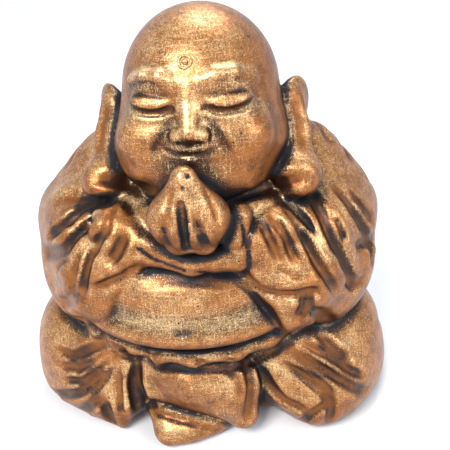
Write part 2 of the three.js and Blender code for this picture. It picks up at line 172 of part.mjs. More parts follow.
  ['neckB', 2.4, 5, [[-41, 35.7, 180.3], [-26.4, 42.4, 180.1], [-11.5, 46.6, 179.5], [4.1, 48.3, 178.9], [19.7, 46.5, 178.9], [34.6, 42.3, 179.1], [48.7, 35.6, 179.7]]],
  ['shR1', 2.6, 2.6, [[59.4, 46.3, 170.3], [66.6, 34.9, 175.5], [73.3, 21.2, 176.1], [78.9, 7.2, 170.2]]],
  ['shR2', 2.6, 2.6, [[74, 48, 158], [82.3, 36.1, 162], [87.9, 21.8, 162.1], [91.9, 7.4, 157.9]]],
  ['shR3', 2.2, 2.6, [[88.1, 40.1, 146.1], [98, 23.7, 147.6], [105.4, 5.6, 141.4]]],
  ['shL1', 2.2, 2.8, [[-61.1, 46.2, 168.1], [-70.4, 33.5, 171.9], [-78.6, 19.3, 169.3], [-84.8, 5.8, 160.8]]],
  ['shL2', 2.2, 2.8, [[-81.7, 41.8, 151.8], [-89.5, 29.4, 152.7], [-95.7, 16.6, 150.6], [-101.6, 3.5, 145.2]]],
];

// ---- distance field -------------------------------------------------------------------
const smin = (a, b, k) => { if (k <= 0) return Math.min(a, b); const h = Math.max(k - Math.abs(a - b), 0) / k; return Math.min(a, b) - h * h * k * 0.25; };
function rotM(r) {
  const [a, b, c] = r.map((v) => v * Math.PI / 180);
  const ca = Math.cos(a), sa = Math.sin(a), cb = Math.cos(b), sb = Math.sin(b), cc = Math.cos(c), sc = Math.sin(c);
  return [cc * cb, cc * sb * sa - sc * ca, cc * sb * ca + sc * sa, sc * cb, sc * sb * sa + cc * ca, sc * sb * ca - cc * sa, -sb, cb * sa, cb * ca];
}
for (const g of MASSES) for (const m of g.m) if (m.R) m.M = rotM(m.R);
function ell(x, y, z, m) {
  let a = x - m.c[0], b = y - m.c[1], c = z - m.c[2];
  if (m.M) { const M = m.M, p = a * M[0] + b * M[3] + c * M[6], q = a * M[1] + b * M[4] + c * M[7], r = a * M[2] + b * M[5] + c * M[8]; a = p; b = q; c = r; }
  const [rx, ry, rz] = m.r;
  const k0 = Math.hypot(a / rx, b / ry, c / rz), k1 = Math.hypot(a / (rx * rx), b / (ry * ry), c / (rz * rz)) + 1e-9;
  return k0 * (k0 - 1) / k1;
}
function cone(x, y, z, A, B, ra, rb) {
  const ux = B[0] - A[0], uy = B[1] - A[1], uz = B[2] - A[2], qx = x - A[0], qy = y - A[1], qz = z - A[2];
  const t = Math.min(1, Math.max(0, (qx * ux + qy * uy + qz * uz) / (ux * ux + uy * uy + uz * uz)));
  return Math.hypot(qx - t * ux, qy - t * uy, qz - t * uz) - (ra + (rb - ra) * t);
}
function prim(x, y, z, m) {
  if (m.t === 'e') return ell(x, y, z, m);
  let d = null;
  for (let i = 0; i + 1 < m.p.length; i++) {
    const e = cone(x, y, z, m.p[i], m.p[i + 1], m.r[i], m.r[i + 1]);
    d = d === null ? e : smin(d, e, m.kk || 0);
  }
  return d;
}
function masses(x, y, z) {
  let d = null;
  for (const g of MASSES) {
    let e = null;
    for (const m of g.m) { const v = prim(x, y, z, m); e = e === null ? v : smin(e, v, m.k || g.k); }
    d = d === null ? e : smin(d, e, g.K);
  }
  return d;
}
for (const f of FOLDS) {
  const R = f[2] * 4, lo = [1e9, 1e9, 1e9], hi = [-1e9, -1e9, -1e9];
  for (const p of f[3]) for (let k = 0; k < 3; k++) { lo[k] = Math.min(lo[k], p[k] - R); hi[k] = Math.max(hi[k], p[k] + R); }
  f.push(lo, hi);
}
function folds(x, y, z) {
  let s = 0;
  for (const [, dep, w, pts, lo, hi] of FOLDS) {
    if (x < lo[0] || y < lo[1] || z < lo[2] || x > hi[0] || y > hi[1] || z > hi[2]) continue;
    let q = 1e9;
    for (let i = 0; i + 1 < pts.length; i++) {
      // the fold tapers to nothing at both ends
      const A = pts[i], B = pts[i + 1];
      const ux = B[0] - A[0], uy = B[1] - A[1], uz = B[2] - A[2], ax = x - A[0], ay = y - A[1], az = z - A[2];
      const t = Math.min(1, Math.max(0, (ax * ux + ay * uy + az * uz) / (ux * ux + uy * uy + uz * uz + 1e-9)));
      q = Math.min(q, Math.hypot(ax - t * ux, ay - t * uy, az - t * uz));
    }
    s += dep * (Math.exp(-(q * q) / (w * w)) - (dep > 2 ? 0.22 : 0) * Math.exp(-((q - 2.2 * w) ** 2) / (1.4 * w * w)));
  }
  return s;
}
const solid = (x, y, z) => masses(x, y, z) + folds(x, y, z);
const casting = (x, y, z) => -smin(-solid(x, y, z), z - BASE_Z, 0.4);

// corner patterns of a cell whose inside and outside are each in one piece
const SIMPLE = Array.from({ length: 256 }, (_, m) => {
  const whole = (set) => {
    if (!set) return true;
    let grown = set & -set;
    for (let i = 0; i < 8; i++) for (let c = 0; c < 8; c++) if (grown >> c & 1) for (const b of [1, 2, 4]) if (set >> (c ^ b) & 1) grown |= 1 << (c ^ b);
    return grown === set;
  };
  return whole(m) && whole(255 & ~m);
});

// ---- surface nets over a regular grid, then the vertices are settled on the surface -----
function nets(f, lo, hi, h, settle) {
  const n = [0, 1, 2].map((k) => Math.ceil((hi[k] - lo[k]) / h) + 1), [nx, ny, nz] = n, V = new Float64Array(nx * ny * nz);
  const B = 6, skip = B * h * 1.5; // whole blocks far from the surface take their middle value
  for (let k0 = 0; k0 < nz; k0 += B) for (let j0 = 0; j0 < ny; j0 += B) for (let l0 = 0; l0 < nx; l0 += B) {
    const m = f(lo[0] + (l0 + B / 2) * h, lo[1] + (j0 + B / 2) * h, lo[2] + (k0 + B / 2) * h), far = Math.abs(m) > skip;
    for (let k = k0; k < Math.min(nz, k0 + B); k++) for (let j = j0; j < Math.min(ny, j0 + B); j++) for (let l = l0; l < Math.min(nx, l0 + B); l++)
      V[(k * ny + j) * nx + l] = far ? m : f(lo[0] + l * h, lo[1] + j * h, lo[2] + k * h);
  }
  // a cell whose inside or outside corners fall in two groups is filled until neither does
  for (let again = true; again;) {
    again = false;
    for (let k = 0; k < nz - 1; k++) for (let j = 0; j < ny - 1; j++) for (let l = 0; l < nx - 1; l++) {
      let m = 0; for (let c = 0; c < 8; c++) if (V[((k + (c >> 2)) * ny + j + (c >> 1 & 1)) * nx + l + (c & 1)] < 0) m |= 1 << c;
      if (SIMPLE[m]) continue;
      let best = -1, bv = 1e9;
      for (let c = 0; c < 8; c++) { const q = ((k + (c >> 2)) * ny + j + (c >> 1 & 1)) * nx + l + (c & 1); if (V[q] >= 0 && V[q] < bv) { bv = V[q]; best = q; } }
      V[best] = -0.01; again = true;
    }
  }
  const id = new Int32Array(nx * ny * nz).fill(-1), P = [], T = [];
  const at = (l, j, k) => (k * ny + j) * nx + l;
  for (let k = 0; k < nz - 1; k++) for (let j = 0; j < ny - 1; j++) for (let l = 0; l < nx - 1; l++) {
    let m = 0; const v = [];
    for (let c = 0; c < 8; c++) { const q = V[at(l + (c & 1), j + (c >> 1 & 1), k + (c >> 2))]; v.push(q); if (q < 0) m |= 1 << c; }
    if (m === 0 || m === 255) continue;
    let sx = 0, sy = 0, sz = 0, w = 0;
    for (let c = 0; c < 8; c++) for (const b of [1, 2, 4]) {
      const d = c | b; if (d === c || (v[c] < 0) === (v[d] < 0)) continue;
      const t = v[c] / (v[c] - v[d]);
      sx += (c & 1) + (b === 1 ? t : 0); sy += (c >> 1 & 1) + (b === 2 ? t : 0); sz += (c >> 2) + (b === 4 ? t : 0); w++;
    }
    id[at(l, j, k)] = P.length;
    P.push([lo[0] + (l + sx / w) * h, lo[1] + (j + sy / w) * h, lo[2] + (k + sz / w) * h]);
  }
  const quad = (a, b, c, d, flip) => { if (flip) T.push([a, c, b], [a, d, c]); else T.push([a, b, c], [a, c, d]); };
  for (let k = 1; k < nz - 1; k++) for (let j = 1; j < ny - 1; j++) for (let l = 1; l < nx - 1; l++) {
    const s = V[at(l, j, k)] < 0;
    if (s !== V[at(l + 1, j, k)] < 0) quad(id[at(l, j - 1, k - 1)], id[at(l, j, k - 1)], id[at(l, j, k)], id[at(l, j - 1, k)], !s);
    if (s !== V[at(l, j + 1, k)] < 0) quad(id[at(l - 1, j, k - 1)], id[at(l - 1, j, k)], id[at(l, j, k)], id[at(l, j, k - 1)], !s);
    if (s !== V[at(l, j, k + 1)] < 0) quad(id[at(l - 1, j - 1, k)], id[at(l, j - 1, k)], id[at(l, j, k)], id[at(l - 1, j, k)], !s);
  }
  if (settle) for (const p of P) for (let i = 0; i < 3; i++) {
    const d = f(...p), e = 0.3;
    const g = [0, 1, 2].map((a) => { const q = p.slice(), r = p.slice(); q[a] += e; r[a] -= e; return (f(...q) - f(...r)) / (2 * e); });
    const L = g[0] ** 2 + g[1] ** 2 + g[2] ** 2 + 1e-6;
    const s = Math.max(-0.4 * h, Math.min(0.4 * h, d / L)) * 0.7;
    for (let a = 0; a < 3; a++) p[a] -= s * g[a];
  }
  return { P, T };
}

// the biggest connected piece
function largest({ P, T }) {
  const up = P.map((_, i) => i), root = (i) => { while (up[i] !== i) { up[i] = up[up[i]]; i = up[i]; } return i; };
  for (const t of T) { up[root(t[1])] = root(t[0]); up[root(t[2])] = root(t[0]); }
  const n = new Map(); for (const t of T) { const r = root(t[0]); n.set(r, (n.get(r) || 0) + 1); }
  const best = [...n].sort((a, b) => b[1] - a[1] || a[0] - b[0])[0][0], map = new Map(), P2 = [], T2 = [];
  for (const t of T) if (root(t[0]) === best) T2.push(t.map((v) => { if (!map.has(v)) { map.set(v, P2.length); P2.push(P[v]); } return map.get(v); }));
  return { P: P2, T: T2 };
}

// ---- edge-collapse thinning with quadric errors ------------------------------------------
function thin({ P, T }, target) {
  const nv = P.length, Q = P.map(() => new Float64Array(10)), inc = P.map(() => new Set()), alive = T.map(() => true);
  const nrm = (a, b, c) => {
    const u = [b[0] - a[0], b[1] - a[1], b[2] - a[2]], v = [c[0] - a[0], c[1] - a[1], c[2] - a[2]];
    return [u[1] * v[2] - u[2] * v[1], u[2] * v[0] - u[0] * v[2], u[0] * v[1] - u[1] * v[0]];
  };
  T.forEach((t, i) => {
    const n = nrm(P[t[0]], P[t[1]], P[t[2]]), L = Math.hypot(...n) || 1e-12, A = L / 2;
    const [a, b, c] = n.map((v) => v / L), d = -(a * P[t[0]][0] + b * P[t[0]][1] + c * P[t[0]][2]);
    const q = [a * a, a * b, a * c, a * d, b * b, b * c, b * d, c * c, c * d, d * d];
    for (const v of t) { inc[v].add(i); for (let k = 0; k < 10; k++) Q[v][k] += q[k] * A; }
  });
  const err = (q, x, y, z) => q[0] * x * x + 2 * q[1] * x * y + 2 * q[2] * x * z + 2 * q[3] * x + q[4] * y * y + 2 * q[5] * y * z + 2 * q[6] * y + q[7] * z * z + 2 * q[8] * z + q[9];
  const stamp = new Int32Array(nv), gone = new Uint8Array(nv), heap = [];
  const less = (a, b) => a[0] < b[0] || (a[0] === b[0] && (a[1] < b[1] || (a[1] === b[1] && a[2] < b[2])));
  const push = (e) => { heap.push(e); let i = heap.length - 1; while (i) { const p = (i - 1) >> 1; if (!less(heap[i], heap[p])) break; [heap[i], heap[p]] = [heap[p], heap[i]]; i = p; } };
  const pop = () => {
    const r = heap[0], l = heap.pop();
    if (heap.length) { heap[0] = l; let i = 0; for (;;) { let c = 2 * i + 1; if (c >= heap.length) break; if (c + 1 < heap.length && less(heap[c + 1], heap[c])) c++; if (!less(heap[c], heap[i])) break; [heap[i], heap[c]] = [heap[c], heap[i]]; i = c; } }
    return r;
  };
  const near = (v) => { const s = new Set(); for (const t of inc[v]) for (const w of T[t]) if (w !== v) s.add(w); return s; };
  const offer = (a, b) => {
    if (a > b) [a, b] = [b, a];
    const q = Q[a].map((v, k) => v + Q[b][k]), A = P[a], B = P[b];
    let best = null;
    const det = q[0] * (q[4] * q[7] - q[5] * q[5]) - q[1] * (q[1] * q[7] - q[5] * q[2]) + q[2] * (q[1] * q[5] - q[4] * q[2]);
    const cands = [[(A[0] + B[0]) / 2, (A[1] + B[1]) / 2, (A[2] + B[2]) / 2], A.slice(), B.slice()];
    const tr = q[0] + q[4] + q[7];
    if (Math.abs(det) > 1e-3 * tr * tr * tr) {
      const x = -(q[3] * (q[4] * q[7] - q[5] * q[5]) - q[1] * (q[6] * q[7] - q[5] * q[8]) + q[2] * (q[6] * q[5] - q[4] * q[8])) / det;
      const y = -(q[0] * (q[6] * q[7] - q[8] * q[5]) - q[3] * (q[1] * q[7] - q[5] * q[2]) + q[2] * (q[1] * q[8] - q[6] * q[2])) / det;
      const z = -(q[0] * (q[4] * q[8] - q[5] * q[6]) - q[1] * (q[1] * q[8] - q[2] * q[6]) + q[3] * (q[1] * q[5] - q[4] * q[2])) / det;
      const m = cands[0], r = Math.hypot(A[0] - B[0], A[1] - B[1], A[2] - B[2]);
      if (Math.hypot(x - m[0], y - m[1], z - m[2]) < r) cands.unshift([x, y, z]);
    }
    for (const c of cands) { const e = Math.max(0, err(q, ...c)); if (!best || e < best[0] - 1e-12) best = [e, c]; }
    const len = (A[0] - B[0]) ** 2 + (A[1] - B[1]) ** 2 + (A[2] - B[2]) ** 2;
    push([best[0] + 1e-4 * len * len ** 0.5, a, b, stamp[a], stamp[b], best[1]]);
  };
  const seen = new Set();
  for (const t of T) for (let k = 0; k < 3; k++) { const a = t[k], b = t[(k + 1) % 3]; if (a < b) offer(a, b); }
  let count = T.length;
  while (count > target && heap.length) {
    const [, a, b, sa, sb, pos] = pop();
    if (gone[a] || gone[b] || stamp[a] !== sa || stamp[b] !== sb) continue;
    const na = near(a), nb = near(b); let common = 0;
    for (const v of na) if (nb.has(v)) common++;
    if (common !== 2 || na.size + nb.size - 4 < 4) continue;
    let bad = false;
    for (const v of [a, b]) for (const t of inc[v]) {
      const tr = T[t]; if (tr.includes(a) && tr.includes(b)) continue;
      const o = nrm(P[tr[0]], P[tr[1]], P[tr[2]]), pts = tr.map((w) => (w === v ? pos : P[w])), n = nrm(...pts);
      const lo = Math.hypot(...o), ln = Math.hypot(...n), dot = o[0] * n[0] + o[1] * n[1] + o[2] * n[2];
      if (ln < 1e-4 || dot < 0.35 * lo * ln) { bad = true; break; }
      const e = [0, 1, 2].map((k) => { const p = pts[k], r = pts[(k + 1) % 3]; return (p[0] - r[0]) ** 2 + (p[1] - r[1]) ** 2 + (p[2] - r[2]) ** 2; });
      if (ln / (e[0] + e[1] + e[2]) < 0.06) { bad = true; break; }
    }
    if (bad) continue;
    P[a] = pos; for (let k = 0; k < 10; k++) Q[a][k] += Q[b][k];
    gone[b] = 1;
    for (const t of inc[b]) {
      if (T[t].includes(a)) { alive[t] = false; count--; for (const w of T[t]) if (w !== b) inc[w].delete(t); }
      else { T[t] = T[t].map((w) => (w === b ? a : w)); inc[a].add(t); }
    }
    inc[b].clear(); stamp[a]++;
    for (const v of [...near(a)].sort((p, q) => p - q)) { stamp[v] += 0; offer(a, v); }
  }
  const map = new Int32Array(nv).fill(-1), P2 = [], T2 = [];
  T.forEach((t, i) => { if (!alive[i]) return; T2.push(t.map((v) => { if (map[v] < 0) { map[v] = P2.length; P2.push(P[v]); } return map[v]; })); });
  return { P: P2, T: T2 };
}

// ---- joining and cutting -------------------------------------------------------------------
const wasm = await Module(); wasm.setup();
const solidOf = ({ P, T }) => new wasm.Manifold(new wasm.Mesh({ numProp: 3, vertProperties: new Float32Array(P.flat()), triVerts: new Uint32Array(T.flat()) }));
function weld(geo) { // a three geometry as shared points and triangles
  const g = geo.index ? geo.toNonIndexed() : geo, a = g.getAttribute('position'), P = [], T = [], key = new Map(), ids = [];
  for (let i = 0; i < a.count; i++) {
    const k = [a.getX(i), a.getY(i), a.getZ(i)].map((v) => Math.round(v * 1e4)).join();
    if (!key.has(k)) { key.set(k, P.length); P.push([a.getX(i), a.getY(i), a.getZ(i)]); }
    ids.push(key.get(k));
  }
  for (let i = 0; i < ids.length; i += 3) { const t = ids.slice(i, i + 3); if (new Set(t).size === 3) T.push(t); }
  return { P, T };
}
const moved = (geo, m) => { geo.applyMatrix4(m); return solidOf(weld(geo)); };
function toGeo(man) {
  const m = man.getMesh(), n = m.numProp, P = [];
  for (let i = 0; i < m.vertProperties.length; i += n) P.push(m.vertProperties[i], m.vertProperties[i + 1], m.vertProperties[i + 2]);
  const g = new THREE.BufferGeometry();
  g.setAttribute('position', new THREE.Float32BufferAttribute(P, 3)); g.setIndex([...m.triVerts]);
  g.translate(SHIFT[0], SHIFT[1], 0); g.computeVertexNormals();
  return g;
}
const lathe = (pts, seg) => { const g = new THREE.LatheGeometry(pts.map((p) => new THREE.Vector2(...p)), seg); g.rotateX(Math.PI / 2); return g; }; // about +Z

// an oval kept a margin inside the base outline and drawn in further, as spokes from the middle
function outline(margin, draw, n) {
  const pts = [];
  for (let i = 0; i < n; i++) {
    const a = 2 * Math.PI * i / n, c = Math.cos(a), s = Math.sin(a);
    let r = 10; while (r < 200 && masses(c * r, s * r + OVAL[2], BASE_Z + 3) < -margin) r += 0.5;
    let lo = r - 0.5, hi = r;
    for (let k = 0; k < 20; k++) { const m = (lo + hi) / 2; if (masses(c * m, s * m + OVAL[2], BASE_Z + 3) < -margin) lo = m; else hi = m; }
    const A = OVAL[0] - draw, B = OVAL[1] - draw;
    lo = Math.min(lo, 1 / Math.hypot(c / A, s / B));
    pts.push([c * lo, s * lo + OVAL[2]]);
  }
  return pts;
}
const slab = (pts, z0, z1) => { const g = new THREE.ExtrudeGeometry(new THREE.Shape(pts.map((p) => new THREE.Vector2(...p))), { depth: z1 - z0, bevelEnabled: false, curveSegments: 1 }); g.translate(0, 0, z0); return solidOf(weld(g)); };

// ---- the bead's seat -------------------------------------------------------------------------
const seat = BEAD_AT.slice();
const slope = (p) => { const e = 0.5, g = [0, 1, 2].map((a) => { const q = p.slice(), r = p.slice(); q[a] += e; r[a] -= e; return solid(...q) - solid(...r); }), L = Math.hypot(...g); return g.map((v) => v / L); };
for (let i = 0; i < 30; i++) { const d = solid(...seat), g = slope(seat); for (let a = 0; a < 3; a++) seat[a] -= 0.8 * d * g[a]; }
const out = new THREE.Vector3(...slope(seat));
const seatM = new THREE.Matrix4().makeTranslation(...seat).multiply(new THREE.Matrix4().makeRotationFromQuaternion(new THREE.Quaternion().setFromUnitVectors(new THREE.Vector3(0, 0, 1), out)));

// ---- the casting --------------------------------------------------------------------------------
const LO = [-134, -100, -6], HI = [134, 86, 266];
let body = solidOf(thin(largest(nets(casting, LO, HI, CELL, true)), TRIS));
const ring = []; for (let i = 0; i <= 8; i++) { const a = Math.PI * 2 * i / 8; ring.push([RING_R + RING_T * Math.cos(a), RING_T * Math.sin(a)]); }
body = body.add(moved(lathe(ring, 20), seatM));
body = body.subtract(moved(lathe([[0, -BEAD_PEG - FIT], [BEAD_R + FIT, -BEAD_PEG - FIT], [BEAD_R + FIT, 6], [0, 6]], 20), seatM));
const hollowField = (x, y, z) => Math.max(smin(masses(x, y, Math.max(z, BASE_Z + 3)) + WALL, cone(x, y, z, [0, 6, 110], [6, -8, 205], 15, 13), 6), BASE_Z + 8 - z);
body = body.subtract(solidOf(largest(nets(hollowField, [LO[0], LO[1], -18], HI, HOLE_CELL, false))));
body = body.subtract(slab(outline(RIM + LEDGE, LEDGE, 56), BASE_Z - 6, BASE_Z + 15)); // the mouth
body = body.subtract(slab(outline(RIM, 0, 56), BASE_Z - 6, BASE_Z + REBATE)); // the rebate round it

// everything is moved so the figure's box is centred on x = y = 0
const box = body.boundingBox(), SHIFT = [0, 1].map((k) => -Math.round(5 * (box.min[k] + box.max[k])) / 10);

// ---- the closing board, the bead and the pads ------------------------------------------------------
let board = slab(outline(RIM + FIT, FIT, 56), BASE_Z + FIT, BASE_Z + FIT + BOARD_T);
board = board.subtract(moved(new THREE.CylinderGeometry(VENT_R, VENT_R, 20, 24), new THREE.Matrix4().makeTranslation(0, 6, BASE_Z).multiply(new THREE.Matrix4().makeRotationX(Math.PI / 2))));
const dome = [[0, -BEAD_PEG], [BEAD_R - 0.5, -BEAD_PEG], [BEAD_R, -BEAD_PEG + 0.5], [BEAD_R, 0.35]];
for (let i = 1; i <= 6; i++) { const a = Math.PI / 2 * i / 6; dome.push([i === 6 ? 0 : BEAD_R * Math.cos(a), 0.35 + 1.15 * Math.sin(a)]); }
const bead = moved(lathe(dome, 24), seatM);

const group = new THREE.Group();
const MAT = {
  figure_casting: { color: 0x9a6230, roughness: 0.42, metalness: 0.55 },
  urna_bead: { color: 0xb07a3c, roughness: 0.38, metalness: 0.6 },
  base_board: { color: 0x6b4a2e, roughness: 0.85, metalness: 0 },
  felt: { color: 0x2c3a2e, roughness: 1, metalness: 0 },
};
const add = (name, man, mat) => {
  const mesh = new THREE.Mesh(toGeo(man), new THREE.MeshStandardMaterial(mat)); mesh.name = name; group.add(mesh);
};
add('figure_casting', body, MAT.figure_casting);
add('urna_bead', bead, MAT.urna_bead);
add('base_board', board, MAT.base_board);
for (const [name, [x, y]] of Object.entries(PADS)) {
  const g = lathe([[0, 0], [PAD_R - 0.4, 0], [PAD_R, 0.4], [PAD_R, PAD_T - 0.1], [PAD_R - 0.1, PAD_T], [0, PAD_T]], 28);
  add(name, moved(g, new THREE.Matrix4().makeTranslation(x, y, 0)), MAT.felt);
}
export default group;
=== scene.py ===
# Seated laughing-buddha ornament: the sculpted casting, its paint, and the small parts under it.
import bpy, math
import numpy as np
from mathutils import Matrix, Vector


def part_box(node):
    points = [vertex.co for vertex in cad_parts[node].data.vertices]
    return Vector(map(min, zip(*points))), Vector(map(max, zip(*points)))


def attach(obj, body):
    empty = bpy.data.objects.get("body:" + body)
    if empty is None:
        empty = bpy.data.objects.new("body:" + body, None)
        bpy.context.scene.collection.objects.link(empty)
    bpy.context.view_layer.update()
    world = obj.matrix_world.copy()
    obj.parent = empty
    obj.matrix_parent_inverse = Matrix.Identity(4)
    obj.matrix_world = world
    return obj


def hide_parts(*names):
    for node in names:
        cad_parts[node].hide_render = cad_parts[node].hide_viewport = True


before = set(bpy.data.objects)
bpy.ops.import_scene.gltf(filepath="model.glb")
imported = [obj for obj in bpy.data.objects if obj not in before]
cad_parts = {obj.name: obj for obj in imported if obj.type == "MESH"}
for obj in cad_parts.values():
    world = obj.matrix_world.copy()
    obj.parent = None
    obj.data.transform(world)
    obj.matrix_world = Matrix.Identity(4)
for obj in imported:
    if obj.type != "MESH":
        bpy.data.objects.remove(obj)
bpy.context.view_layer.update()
RIM_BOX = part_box("figure_casting")

SHIFT = np.array([3.6, 8, 0.0])   # mm, the same move the solids get
BASE_Z = 2.3

